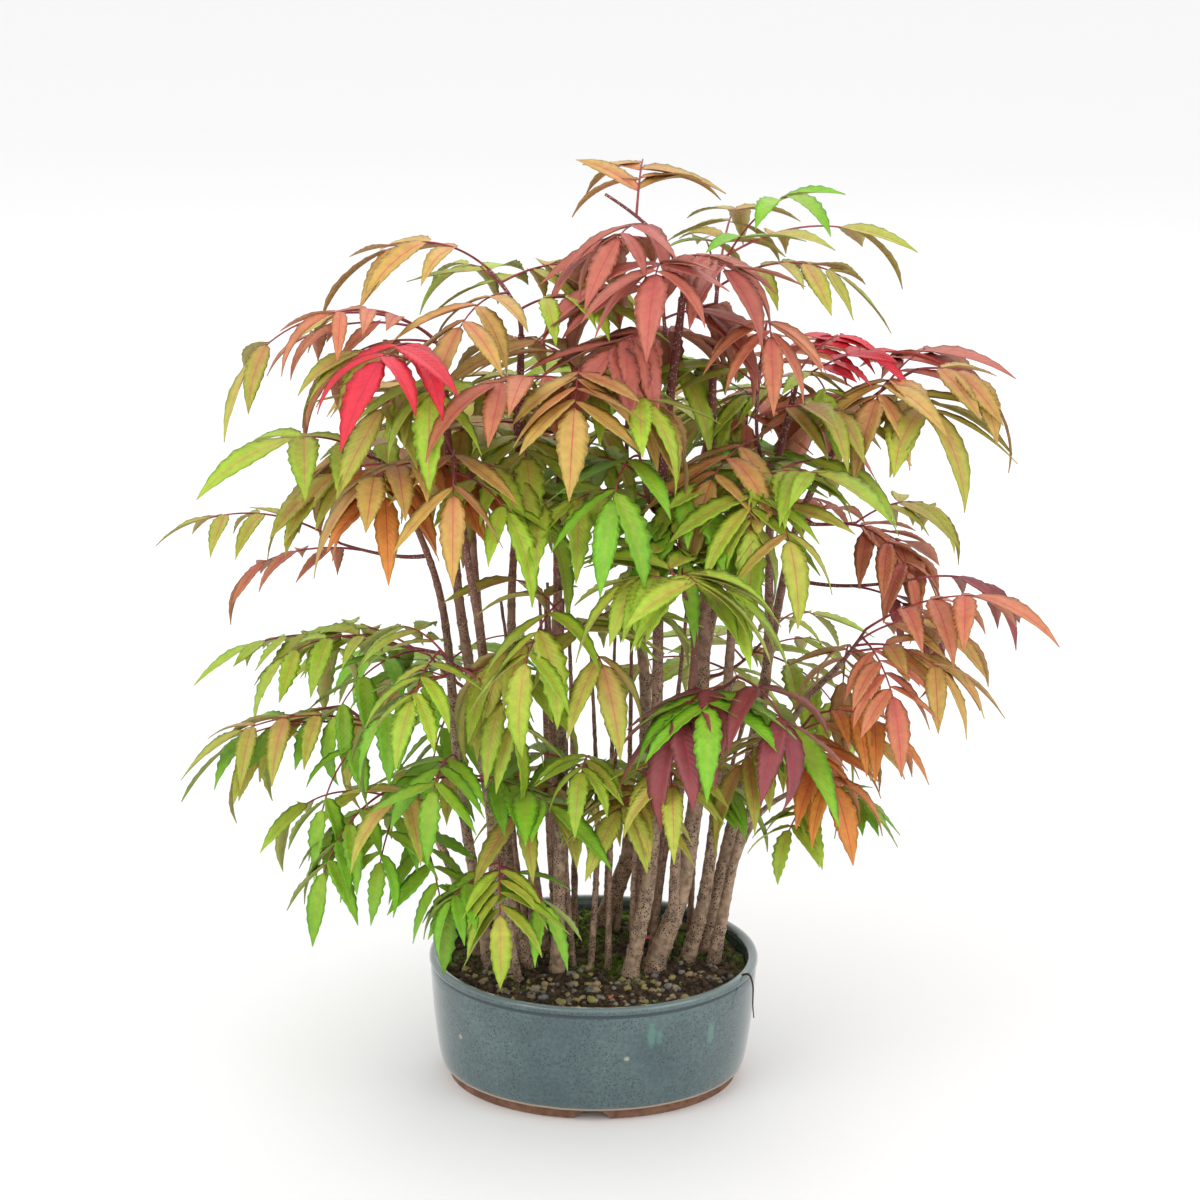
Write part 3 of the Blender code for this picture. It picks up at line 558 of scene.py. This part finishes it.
# Bark goes from grey-brown with dark flecks at the foot to maroon with pale flecks on young wood.
def barkFinish():
    made, tree, shader = newFinish("bark", 0.85)
    base = placed(tree, mottle, Scale=230.0, Low=bark.deep, High=bark.pale, From=0.34, To=0.62)
    dark = placed(tree, specks, Scale=700.0, Size=0.34, Scarcity=0.46)
    old = mixed(tree, dark["Mask"], base["Colour"], bark.fleck)
    pale = placed(tree, specks, Scale=620.0, Size=0.26, Scarcity=0.42)
    fresh = mixed(tree, pale["Mask"], bark.young, bark.lenticel)
    tree.links.new(mixed(tree, painted(tree, "young"), old, fresh), shader["Base Color"])
    bump(tree, shader, base["Height"], 0.0005)
    return made


# Radii with relief: an even taper, times 1 + flareShare exp(-length / flareHeight) at the root,
# times 1 + ridges that wander up the bark as sin(fold a + twist length) + a swelling at each node.
def barkRadii(length, foot, tip, rooted, seed):
    rng = np.random.default_rng(seed)
    radius = foot + (tip - foot) * (length / length[-1])
    if rooted:
        radius = radius * (1 + bark.flareShare * np.exp(-length / bark.flareHeight))
    turn = turns(bark.sides)
    ridge = np.zeros((len(length), bark.sides))
    for fold in bark.ridgeFolds:
        twist, shift = rng.uniform(-bark.ridgeTwist, bark.ridgeTwist), rng.uniform(0, fullTurn)
        swing = np.sin(length[:, None] * rng.uniform(*bark.ridgeSwing) + rng.uniform(0, 6))
        ridge += np.sin(fold * turn + twist * length[:, None] + shift) * (0.6 + 0.4 * swing) / fold ** 0.5
    middles = np.arange(rng.uniform(0.3, 1) * bark.nodePitch, length[-1], bark.nodePitch)
    middles = middles + rng.uniform(-bark.nodeJitter, bark.nodeJitter, len(middles))
    node = np.exp(-((length[:, None] - middles) / bark.nodeLength) ** 2).sum(1)
    return radius[:, None] * (1 + bark.ridge * ridge + bark.nodeSwell * node[:, None])


limbs = {}  # each stem's path and length so far, named without stem_


# Each stem is a tube with bark relief; a foot given by X and Y alone stands on the soil.
def makeStems():
    finish = barkFinish()
    for seed, (name, row) in enumerate(stems.items(), bark.firstSeed):
        *points, foot, tip = row
        rooted = len(points[0]) == 2
        if rooted:
            points[0] = (*points[0], bark.footZ * perMetre)
        path = smoothPath(points, bark.perSpan) / perMetre
        length = np.concatenate([[0], np.cumsum(np.linalg.norm(np.diff(path, axis=0), axis=1))])
        limbs[name.removeprefix("stem_")] = (path, length)
        radii = barkRadii(length, foot / perMetre, tip / perMetre, rooted, seed)
        made = newTubes("bark_" + name, path[None], radii[None], finish)
        young = (path[:, 2] - bark.youngFrom) / bark.youngOver if rooted else length / length[-1]
        young = np.clip(young, 0, 1)
        pointValues(made, "young", np.concatenate([np.repeat(young, bark.sides), young[[0, -1]]]))
        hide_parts(name)
    return finish


# Thin bare stems between the others: each leans the way its foot lies and ends inside the foliage.
def makeThinStems(finish):
    rng = np.random.default_rng(bark.thinSeed)
    middle, (halfWidth, halfDepth) = bark.thinMiddle, bark.thinHalves
    paths, radii = [], []
    for k in range(bark.thinStems):
        turn = fullTurn * (k * goldenShare % 1)
        foot = np.array([middle + halfWidth * math.cos(turn) * rng.uniform(0.5, 1),
                         middle + halfDepth * math.sin(turn), bark.footZ])
        lean = (rng.uniform(1.35, 1.7), rng.uniform(1.1, 1.6), 1)
        top = foot * lean + (0, 0, rng.uniform(*bark.thinRise))
        bend = rng.uniform(-bark.thinBend, bark.thinBend, 2)
        path = smoothPath([foot, 0.55 * foot + 0.45 * top + (*bend, 0), top], bark.thinPerSpan)
        taper = np.linspace(*bark.thinRadii, len(path))
        grain = rng.standard_normal((len(path), bark.thinSides))
        paths.append(path)
        radii.append(taper[:, None] * (1 + bark.thinGrain * grain))
    made = newTubes("thin_stems", np.array(paths), np.array(radii), finish)
    young = np.repeat(np.linspace(0, bark.thinYoung, len(paths[0])), bark.thinSides)
    pointValues(made, "young", np.tile(np.concatenate([young, [0, bark.thinYoung]]), len(paths)))


barkMade = makeStems()
makeThinStems(barkMade)
print("stems made")

# Foliage. Each mass: stem, share up it, middle of the tuft, heading and fan in degrees, leaves,
# rise in degrees, rib length, leaflet length, tint

masses = dict(
    crown_top=["main", 1, (3, -20, 577), 185, 130, 5, 38, 50, 58, "russet"],
    crown_front=["main", 0.93, (38, -52, 538), 275, 175, 5, 22, 40, 62, "russet"],
    upper_left=["middle_left", 1, (-68, 18, 524), 170, 180, 5, 30, 55, 50, "bronze"],
    left_arch=["tall_left", 1, (-121, -8, 498), 178, 42, 4, 25, 78, 47, "rust"],
    left_red=["tall_left", 0.96, (-104, -52, 488), 235, 80, 4, 10, 50, 58, "crimson"],
    left_orange=["outer_left", 1, (-137, -44, 420), 230, 130, 5, 20, 48, 62, "orange"],
    far_left=["outer_left", 0.84, (-160, 6, 352), 179, 16, 2, 30, 88, 40, "rust"],
    left_middle=["outer_left", 0.64, (-144, 34, 279), 166, 72, 5, 18, 80, 48, "lime"],
    left_low=["low_left", 1, (-157, -20, 254), 186, 60, 5, 12, 74, 46, "olive"],
    left_foot=["low_left", 0.74, (-128, -58, 212), 222, 75, 5, 5, 62, 42, "green"],
    sprout=["sprout_front", 1, (-58, -92, 182), 255, 110, 4, 0, 42, 42, "lime"],
    low_front=["front_left", 0.42, (-85, -88, 246), 255, 130, 5, 12, 55, 48, "olive"],
    middle_left=["front_left", 0.64, (-94, -88, 312), 245, 140, 5, 16, 56, 52, "lime"],
    fork_left=["front_left", 1, (-85, -72, 432), 265, 175, 6, 24, 54, 56, "bronze"],
    centre_left=["middle_left", 0.82, (-53, 22, 450), 120, 150, 5, 26, 58, 54, "olive"],
    middle_front=["middle", 0.6, (-20, -78, 342), 240, 150, 5, 20, 56, 54, "olive"],
    centre_top=["middle", 1, (-10, -60, 480), 270, 180, 6, 26, 56, 58, "bronze"],
    centre=["main", 0.7, (25, -66, 428), 270, 180, 6, 22, 55, 56, "green"],
    centre_right=["trunk_forked", 0.72, (64, 34, 398), 70, 150, 5, 24, 55, 54, "green"],
    front_rosette=["bough_fork_front", 1, (47, -128, 368), 270, 180, 5, 34, 34, 64, "lime"],
    low_middle=["middle", 0.36, (-2, -72, 238), 265, 150, 5, 20, 42, 46, "green"],
    low_right=["main", 0.3, (44, -88, 240), 280, 150, 5, 16, 44, 48, "green"],
    maroon=["bough_fork_front", 0.72, (84, -108, 304), 315, 95, 4, 14, 50, 66, "maroon"],
    right=["slanting_right", 1, (163, -68, 322), 345, 95, 6, 20, 64, 48, "bronze"],
    far_right=["leaning_right", 0.7, (198, -6, 336), 358, 16, 2, 15, 60, 42, "maroon"],
    right_middle=["leaning_right", 0.8, (166, 66, 352), 30, 120, 5, 22, 58, 44, "rust"],
    right_rosette=["leaning_right", 1, (196, 16, 464), 345, 150, 5, 28, 42, 62, "rust"],
    right_top=["trunk_forked", 1, (75, 32, 529), 20, 100, 5, 42, 78, 46, "olive"],
    upper_right=["tall_right", 0.88, (100, -22, 494), 280, 170, 5, 22, 54, 54, "bronze"],
    red_right=["tall_right", 1, (126, 40, 458), 40, 150, 5, 26, 42, 42, "crimson"],
    middle_right=["right", 1, (100, -56, 398), 300, 160, 6, 22, 56, 54, "lime"],
    low_slant=["slanting_right", 0.72, (132, -56, 262), 320, 120, 5, 12, 46, 48, "orange"],
    bough_end=["bough_wavy", 1, (138, -52, 208), 325, 90, 3, 15, 30, 34, "green"],
    back_left=["back_left", 1, (-94, 126, 404), 125, 180, 6, 22, 66, 52, "bronze"],
    back_middle=["back_middle", 1, (-14, 146, 410), 90, 180, 6, 24, 64, 52, "olive"],
    back_right=["back_right", 1, (102, 134, 424), 60, 180, 6, 24, 64, 52, "rust"],
    back_centre=["back_centre", 1, (20, 86, 462), 80, 180, 6, 24, 60, 52, "lime"],
    back_low_left=["back_left", 0.5, (-110, 92, 252), 130, 130, 6, 15, 64, 50, "green"],
    back_low_right=["back_right", 0.5, (112, 100, 264), 50, 130, 6, 15, 64, 50, "lime"],
)

# Each tint: the blade, the blush near its rib and foot, the midrib, and tints that mix in with it.
tints = dict(
    green=[(0.18, 0.52, 0.014), (0.36, 0.5, 0.03), (0.36, 0.46, 0.07), ("lime", "lime", "olive")],
    lime=[(0.37, 0.62, 0.028), (0.52, 0.46, 0.06), (0.6, 0.24, 0.1), ("green", "olive", "lime")],
    olive=[(0.45, 0.54, 0.045), (0.6, 0.28, 0.1), (0.56, 0.14, 0.09), ("lime", "lime", "green", "bronze")],
    bronze=[(0.62, 0.43, 0.085), (0.64, 0.2, 0.1), (0.56, 0.08, 0.08), ("olive", "lime", "lime", "rust")],
    rust=[(0.66, 0.25, 0.1), (0.58, 0.12, 0.09), (0.54, 0.05, 0.07), ("bronze", "olive", "russet")],
    russet=[(0.56, 0.16, 0.1), (0.5, 0.1, 0.08), (0.5, 0.05, 0.07), ("rust", "bronze", "olive")],
    orange=[(0.78, 0.3, 0.045), (0.74, 0.13, 0.05), (0.6, 0.06, 0.05), ("olive", "lime", "bronze")],
    maroon=[(0.33, 0.07, 0.07), (0.28, 0.042, 0.06), (0.52, 0.03, 0.07), ("russet", "rust", "olive")],
    crimson=[(0.8, 0.026, 0.042), (0.76, 0.018, 0.06), (0.62, 0.02, 0.05), ("olive", "bronze", "lime")],
)

leaf = Settings(
    firstSeed=101, seed=404, shootSteps=14, shootBow=0.4, shootRadii=(0.0015, 0.0009),
    shootSides=8, seatedOver=10, sway=20, tip=20, fall=12, sizes=(0.86, 1.12), ribGain=1.08,
    ribRadii=(0.00085, 0.00045), ribStations=19, ribSides=6, ribBend=58,
    ribBends=(0.55, 1.25), pairs=(2, 3, 3, 4), firstSeat=0.36, lastSeat=0.9, tipSeat=0.995,
    tipSize=1.08, stagger=0.014, spread=(44, 66), droop=(-0.1, 0.4), lengths=(0.9, 1.08),
    ownTint=0.54, ownShare=dict(crimson=0.38, russet=0.85), greens=("green", "lime", "olive"),
    greenBelow=0.33, greenLeftOf=0.12,  # low masses mix in green tints only, but for those far right
    stations=15, columns=(-1, -0.52, -0.055, 0.055, 0.52, 1), thickness=0.00055, width=(0.24, 0.32),
    footPower=0.62, tipPower=1.12, narrowest=0.03, bend=(12, 62), bendPower=1.15,
    twist=(-34, 34), fold=(0.16, 0.42), foldPower=1.25, ripple=0.05, ripples=9, rippleShift=(0, 6),
    tooth=0.045, toothGain=1.6, coarseGreens=1.2, coarseOthers=0.4,
    lowest=0.088, proud=0.002, whole=0.6,
    veinSlant=0.16, veinPitch=95.0, blush=(0.25, 1.1), pinkish=(0.42, 0.24, 0.16, 1),
    twigDeep=(0.2, 0.02, 0.035, 1), twigLight=(0.4, 0.06, 0.06, 1),
)


# A place on a stem by its share of the length, and the way the stem runs there.
def limbAt(name, share):
    path, length = limbs[name]
    here = share * length[-1]
    steps = (here, min(here + 0.004, length[-1]), here - 0.004)
    centre, ahead, behind = (np.array([np.interp(step, length, path[:, axis]) for axis in range(3)])
                             for step in steps)
    return centre, unit(ahead - behind)


# The shoot leaves the stem's tip along it, or its side square on, and bows to the tuft's middle:
# centre + 2 t (1 - t) (bow - centre) + t^2 (middle - centre).
def shootPath(stem, share, middle):
    centre, out = limbAt(stem, share)
    if share < 1:
        out = unit(middle - centre - out * np.dot(middle - centre, out))
    bow = leaf.shootBow * np.linalg.norm(middle - centre) * out
    t = np.linspace(0, 1, leaf.shootSteps)[:, None]
    return centre + t * (2 * (1 - t) * bow + t * (middle - centre))


# Each leaf leaves the shoot lower and flatter than the one before, turned by the golden share.
def growMasses():
    shoots, ribs = [], []
    for seed, row in enumerate(masses.values(), leaf.firstSeed):
        rng = random.Random(seed)
        stem, share, middle, heading, fan, count, rise, ribLength, leafletLength, tint = row
        middle = np.array(middle) / perMetre
        others = tints[tint][3]
        if middle[2] < leaf.greenBelow and middle[0] < leaf.greenLeftOf:
            others = [other for other in others if other in leaf.greens] + ["green"]
        path = shootPath(stem, share, middle)
        shoots.append(path)
        for k in range(count):
            place = len(path) - 1 - leaf.seatedOver * (k / count) ** 0.8
            low = min(int(place), len(path) - 2)
            turn = 2 * ((k * goldenShare + 0.5) % 1) - 1
            size = rng.uniform(*leaf.sizes)
            own = rng.random() < leaf.ownShare.get(tint, leaf.ownTint)
            sway = rng.uniform(-leaf.sway, leaf.sway)
            tip = rng.uniform(-leaf.tip, leaf.tip)
            ribs.append({
                "start": path[low] + (path[low + 1] - path[low]) * (place - low),
                "heading": math.radians(heading + fan * turn + sway),
                "rise": math.radians(rise + tip - leaf.fall * k / count),
                "length": ribLength / perMetre * size * leaf.ribGain,
                "leaflet": leafletLength / perMetre * size,
                "tint": tint if own else rng.choice(others), "pairs": rng.choice(leaf.pairs),
                "seed": rng.random(), "bend": math.radians(leaf.ribBend * rng.uniform(*leaf.ribBends)),
            })
    return shoots, ribs


# One value of every rib, as a column.
def ribColumn(ribs, key):
    return np.array([rib[key] for rib in ribs])[:, None]


# A rib rises, then bends down: even steps along the tilt rise - bend share^1.2.
def ribPaths(ribs):
    share = np.linspace(0, 1, leaf.ribStations)
    step = ribColumn(ribs, "length") / (leaf.ribStations - 1)
    tilt = ribColumn(ribs, "rise") - ribColumn(ribs, "bend") * share[:-1] ** 1.2
    heading = ribColumn(ribs, "heading")
    flat = step * np.cos(tilt)
    travel = np.stack([flat * np.cos(heading), flat * np.sin(heading), step * np.sin(tilt)], -1)
    start = ribColumn(ribs, "start")
    return np.concatenate([start, start + np.cumsum(travel, 1)], 1)


# Seats of the leaflets: pairs along the rib's outer part, longest in the middle, and one at its tip.
def leafletSeats(ribs):
    seats = []
    for i, rib in enumerate(ribs):
        first = random.Random(rib["seed"]).choice((-1, 1))
        shares = np.linspace(leaf.firstSeat, leaf.lastSeat, rib["pairs"])
        for j, share in enumerate(shares):
            size = 0.74 + 0.26 * math.sin(math.pi * (j + 1) / (len(shares) + 1)) + 0.05 * j / len(shares)
            for side in (-1, 1):
                seats.append((i, share + leaf.stagger * side * first, side, size))
        seats.append((i, leaf.tipSeat, 0, leaf.tipSize))
    return np.array(seats)


# One leaflet is rings across its length. Half width: t^0.62 (1 - t)^1.12, widest a third of the way
# out. The middle line bends down along an arc, the sides fold up from it, the whole twists a little,
# and the edge steps out and in for the teeth.
def leafletRings(root, direction, normal, length, rng, coarse):
    count, rows = len(root), leaf.stations

    def draw(key):
        return rng.uniform(*leaf[key], count)[:, None]

    t = np.linspace(0, 1, rows)
    side = unit(np.cross(direction, normal))
    normal = np.cross(side, direction)
    angle = np.radians(draw("bend")) * t ** leaf.bendPower
    step = length[:, None] / (rows - 1) * (t > 0)
    forward, down = np.cumsum(step * np.cos(angle), 1), np.cumsum(step * np.sin(angle), 1)
    line = root[:, None] + forward[..., None] * direction[:, None] - down[..., None] * normal[:, None]
    up = np.cos(angle)[..., None] * normal[:, None] + np.sin(angle)[..., None] * direction[:, None]
    turn = (np.radians(draw("twist")) * t)[..., None]
    across = side[:, None] * np.cos(turn) + up * np.sin(turn)
    raised = up * np.cos(turn) - side[:, None] * np.sin(turn)
    shape = t ** leaf.footPower * (1 - t) ** leaf.tipPower
    step = np.where(np.arange(rows) % 2, leaf.tooth, -leaf.tooth)
    tooth = 1 + step * (1 + leaf.toothGain * coarse[:, None])
    widths = np.maximum(shape / shape.max() * tooth, leaf.narrowest)
    half = 0.5 * draw("width") * length[:, None] * widths
    top = np.array(leaf.columns)
    s = np.concatenate([top, top[-2:0:-1]])
    lift = np.where(np.arange(len(s)) < len(top), 0.5, -0.5) * leaf.thickness * (1 - 0.9 * s ** 4)
    ripple = leaf.ripple * np.sin(leaf.ripples * t + draw("rippleShift")) * half
    fold = (draw("fold") * half)[..., None] * np.abs(s) ** leaf.foldPower
    fold = fold + ripple[..., None] * s * np.abs(s)
    points = line[:, :, None] + (half[..., None] * s)[..., None] * across[:, :, None]
    return points + (fold + lift)[..., None] * raised[:, :, None], t, s


# Leaf tone: the blade flushed with its blush, dulled, mottled, and darker on some leaflets.
def makeLeafTone():
    inputs = dict(Blade=grey(0.0), Blush=grey(0.0), Flush=0.0, Dulling=0.0, Shade=1.0)
    group, given, out = newGroup("leaf tone", inputs, Colour="Color")
    flushed = mixed(group, given["Flush"], given["Blade"], given["Blush"])
    dulled = mixed(group, given["Dulling"], flushed, leaf.pinkish)
    fine = placed(group, mottle, Scale=210.0, Low=grey(0.9), High=grey(1.1))
    toned = mixed(group, 1.0, dulled, fine["Colour"], "MULTIPLY")
    dark = mixed(group, 1.0, toned, grey(0.8), "MULTIPLY")
    group.links.new(mixed(group, given["Shade"], dark, toned), out["Colour"])
    return group


# Veins: the height sin(pitch (along - slant |across|)) for the side veins of a leaflet.
def makeVeins():
    group, given, out = newGroup("veins", dict(Across=0.0, Along=0.0), Height="Float")
    slant = maths(group, "MULTIPLY_ADD", maths(group, "ABSOLUTE", given["Across"]), -leaf.veinSlant,
                  given["Along"])
    group.links.new(maths(group, "SINE", maths(group, "MULTIPLY", slant, leaf.veinPitch)), out["Height"])
    return group


leafTone, veins = makeLeafTone(), makeVeins()
leafParts = ("blade", "midrib", "underside")
faceParts = (0, 0, 1, 0, 0, 2, 2, 1, 2, 2)  # which of them each face round a ring has


# The finish of one part of a leaflet in a tint, made once.
def leafFinish(name, part):
    label = f"leaf_{name}_{part}"
    if label in bpy.data.materials:
        return bpy.data.materials[label]
    blade, blush, rib, _ = tints[name]
    made, tree, shader = newFinish(label, 0.52 if part == "blade" else 0.65)
    given = dict(Blade=(*blade, 1), Blush=(*blush, 1), Dulling=0.45 if part == "underside" else 0.0,
                 Shade=painted(tree, "shade"))
    if part == "midrib":
        given["Blade"] = (*(0.75 * ribTone + 0.25 * bladeTone for ribTone, bladeTone in zip(rib, blade)), 1)
    else:
        given["Flush"] = painted(tree, "blush")
        chart = put(tree, "UVMap", {}, uv_map="blade").outputs[0]
        axes = put(tree, "SeparateXYZ", {"Vector": chart}).outputs
        bump(tree, shader, placed(tree, veins, Across=axes["X"], Along=axes["Y"])["Height"], 0.00012, 0.45)
    tree.links.new(placed(tree, leafTone, **given)["Colour"], shader["Base Color"])
    return made


def makeTwigs(shoots, paths):
    finish, tree, shader = newFinish("twig", 0.5)
    tone = placed(tree, mottle, Scale=130.0, Low=leaf.twigDeep, High=leaf.twigLight)
    tree.links.new(tone["Colour"], shader["Base Color"])
    radii = evenTaper(len(shoots), *leaf.shootRadii, leaf.shootSteps, leaf.shootSides)
    made = newTubes("young_shoots", np.array(shoots), radii, barkMade)
    pointValues(made, "young", np.ones(len(made.data.vertices)))
    radii = evenTaper(len(paths), *leaf.ribRadii, leaf.ribStations, leaf.ribSides)
    newTubes("leaf_ribs", paths, radii, finish)


# One piece of leaflets in a tint. The blush is strongest at a leaflet's foot and beside its midrib,
# 0.75 (1 - t)^1.6 + 0.55 (1 - |s|)^2, and the UV map holds s and t, the way across and along.
def leafPiece(name, tintName, points, t, s, amount, shade):
    count, rows, columns = points.shape[:3]
    parts = np.tile(faceParts, (rows - 1) * count)
    finishOf = np.concatenate([parts, np.zeros(2 * columns * count, int)])
    finishes = [leafFinish(tintName, part) for part in leafParts]
    made = newPiece(name, points, finishes, finishOf)
    flush = 0.75 * (1 - t[:, None]) ** 1.6 + 0.55 * (1 - np.abs(s)) ** 2
    flushed = np.clip(amount[:, None, None] * flush, 0, 1).reshape(count, -1)
    pointValues(made, "blush", np.concatenate([flushed, np.zeros((count, 2))], 1))
    pointValues(made, "shade", np.repeat(shade, rows * columns + 2))
    chart = np.stack(np.broadcast_arrays(s[None, :], t[:, None]), -1).reshape(-1, 2)
    chart = np.tile(np.concatenate([chart, [[0, 0], [0, 1]]]), (count, 1))
    corner = np.zeros(len(made.data.loops), np.int32)
    made.data.loops.foreach_get("vertex_index", corner)
    made.data.uv_layers.new(name="blade").data.foreach_set("uv", chart[corner].astype(np.float32).ravel())
    return made


# Leaflets sit on the ribs, spread to their side, droop a little and face up; what would pass the
# CAD box or hang too low is left out, and a leaf that loses many leaflets goes with its rib.
def makeLeaves():
    shoots, ribs = growMasses()
    paths = ribPaths(ribs)
    index, share, side, size = leafletSeats(ribs).T
    index = index.astype(int)
    count = len(index)
    place = np.clip(share, 0, 1) * (leaf.ribStations - 1)
    low = np.minimum(place.astype(int), leaf.ribStations - 2)
    step = paths[index, low + 1] - paths[index, low]
    root = paths[index, low] + (place - low)[:, None] * step
    ahead = unit(step)
    heading = ribColumn(ribs, "heading")[index, 0]
    across = np.stack([-np.sin(heading), np.cos(heading), np.zeros(count)], -1) * side[:, None]
    rng = np.random.default_rng(leaf.seed)
    spread = np.radians(rng.uniform(*leaf.spread, count))[:, None]
    paired = np.abs(side)[:, None]
    direction = ahead * (1 - paired + paired * np.cos(spread)) + across * np.sin(spread)
    direction = unit(direction - rng.uniform(*leaf.droop, count)[:, None] * (0, 0, 1))
    facing = (0, 0, 1) + 0.5 * across + 0.3 * ahead
    length = ribColumn(ribs, "leaflet")[index, 0] * size * rng.uniform(*leaf.lengths, count)
    tint = ribColumn(ribs, "tint")[index, 0]
    coarse = np.where(np.isin(tint, ("green", "lime")), rng.uniform(0, leaf.coarseGreens, count),
                      rng.uniform(0, leaf.coarseOthers, count))
    points, t, s = leafletRings(root, direction, facing, length, rng, coarse)
    low, high = points.min((1, 2)), points.max((1, 2))
    first, last = np.array(cadBox) + leaf.proud * np.array([[-1], [1]])
    kept = (low > first).all(1) & (high < last).all(1) & (low[:, 2] > leaf.lowest)
    wholeLeaf = np.bincount(index, kept) > leaf.whole * np.bincount(index)
    kept &= wholeLeaf[index]
    makeTwigs(shoots, paths[wholeLeaf])
    print("leaves", wholeLeaf.sum(), "of", len(wholeLeaf), "leaflets", kept.sum(), "of", len(kept))
    amount = rng.uniform(*leaf.blush, count)
    shade = rng.uniform(0, 1, count)
    for name in tints:
        mine = kept & (tint == name)
        made = leafPiece("leaves_" + name, name, points[mine], t, s, amount[mine], shade[mine])
        nodes = ["foliage_" + mass for mass, row in masses.items() if row[-1] == name]
        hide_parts(*nodes)


# Small dry leaflets that lie on the soil: X, Y, heading in degrees and length, for each tint.
fallen = dict(
    crimson=((0.046, 0.03, 200, 0.022), (-0.068, 0.024, 30, 0.013)),
    rust=((0.01, -0.07, 75, 0.012), (-0.03, 0.06, 140, 0.018)),
)


def makeFallen():
    rng = np.random.default_rng(505)
    for name, rows in fallen.items():
        x, y, turn, length = np.array(rows).T
        turn = np.radians(turn)
        root = np.stack([x, y, soilHeight(x, y) + 0.0028], -1)
        direction = np.stack([np.cos(turn), np.sin(turn), 0 * turn], -1)
        points, t, s = leafletRings(root, direction, 0 * direction + (0.1, -0.2, 1), length, rng, 0 * turn)
        points[..., 2] = root[:, None, None, 2] + 0.25 * (points[..., 2] - root[:, None, None, 2])
        leafPiece("fallen_" + name, name, points, t, s, 0.5 + 0 * turn, 0.3 + 0 * turn)


rootlet = Settings(
    points=((0.084, -0.034, 0.076), (0.0925, -0.0385, 0.0815), (0.0985, -0.041, 0.0838),
            (0.1012, -0.0425, 0.077), (0.1013, -0.0455, 0.065), (0.1022, -0.044, 0.0555)),
    perSpan=12, radii=(0.0009, 0.0004), sides=6, colour=(0.035, 0.02, 0.014, 1),
)


# A dark rootlet that has crept out over the lip on the right.
def makeRootlet():
    path = smoothPath(rootlet.points, rootlet.perSpan)
    finish, _, shader = newFinish("rootlet", 0.9)
    shader["Base Color"].default_value = rootlet.colour
    radii = evenTaper(1, *rootlet.radii, len(path), rootlet.sides)
    newTubes("rootlet", path[None], radii, finish)


makeLeaves()
makeFallen()
makeRootlet()
print("shoots, ribs and leaves made")

# Floor, light and camera

studio = Settings(
    floorSize=120.0, floorZ=-0.0002, floor=(0.93, 0.93, 0.93, 1), world=1.0,
    target=(0.0021, 0.0, 0.3185), distance=2.0, pitch=16.7, roll=0.009, lens=96.0, sensor=36,
    lit=(0, 0, 0.28),
    # name, place, size, power
    lights=(("key", (-1.5, -1.7, 2.3), 1.6, 22), ("fill", (1.9, -1.3, 1.5), 1.4, 10),
            ("rear", (0.4, 1.9, 2.1), 1.6, 12)),
)


def makeFloor():
    half, level = studio.floorSize / 2, studio.floorZ
    mesh = bpy.data.meshes.new("floor")
    corners = [(x * half, y * half, level) for x, y in ((-1, -1), (1, -1), (1, 1), (-1, 1))]
    mesh.from_pydata(corners, [], [(0, 1, 2, 3)])
    finish, _, shader = newFinish("floor", 0.9)
    shader["Base Color"].default_value = studio.floor
    mesh.materials.append(finish)
    floor = newObject("floor", mesh)


# A pale world and three wide lamps that face the plant.
def makeLights():
    world = bpy.data.worlds.new("studio")
    world.use_nodes = True
    sky = world.node_tree.nodes["Background"].inputs
    sky["Color"].default_value = grey(1.0)
    sky["Strength"].default_value = studio.world
    studioScene.world = world
    studioScene.view_settings.view_transform = "Standard"
    for name, place, size, power in studio.lights:
        data = bpy.data.lights.new(name, "AREA")
        data.size = size
        data.energy = power
        lamp = newObject(name, data)
        back = unit(np.array(place) - studio.lit)
        side = unit(np.cross((0, 0, 1), back))
        turned = np.eye(4)
        turned[:3] = np.stack([side, np.cross(back, side), back, place], 1)
        lamp.matrix_world = Matrix(turned.tolist())


# The camera stands back from the target, pitched down and rolled a little.
def makeCamera():
    pitch = math.radians(studio.pitch)
    back = np.array([0, -math.cos(pitch), math.sin(pitch)])
    data = bpy.data.cameras.new("camera")
    data.lens = studio.lens
    data.sensor_width = studio.sensor
    made = newObject("camera", data)
    place = Matrix.Translation(np.array(studio.target) + studio.distance * back)
    tilt = Matrix.Rotation(math.pi / 2 - pitch, 4, "X")
    made.matrix_world = place @ tilt @ Matrix.Rotation(studio.roll, 4, "Z")
    studioScene.camera = made


makeFloor()
makeLights()
makeCamera()
print("studio made")
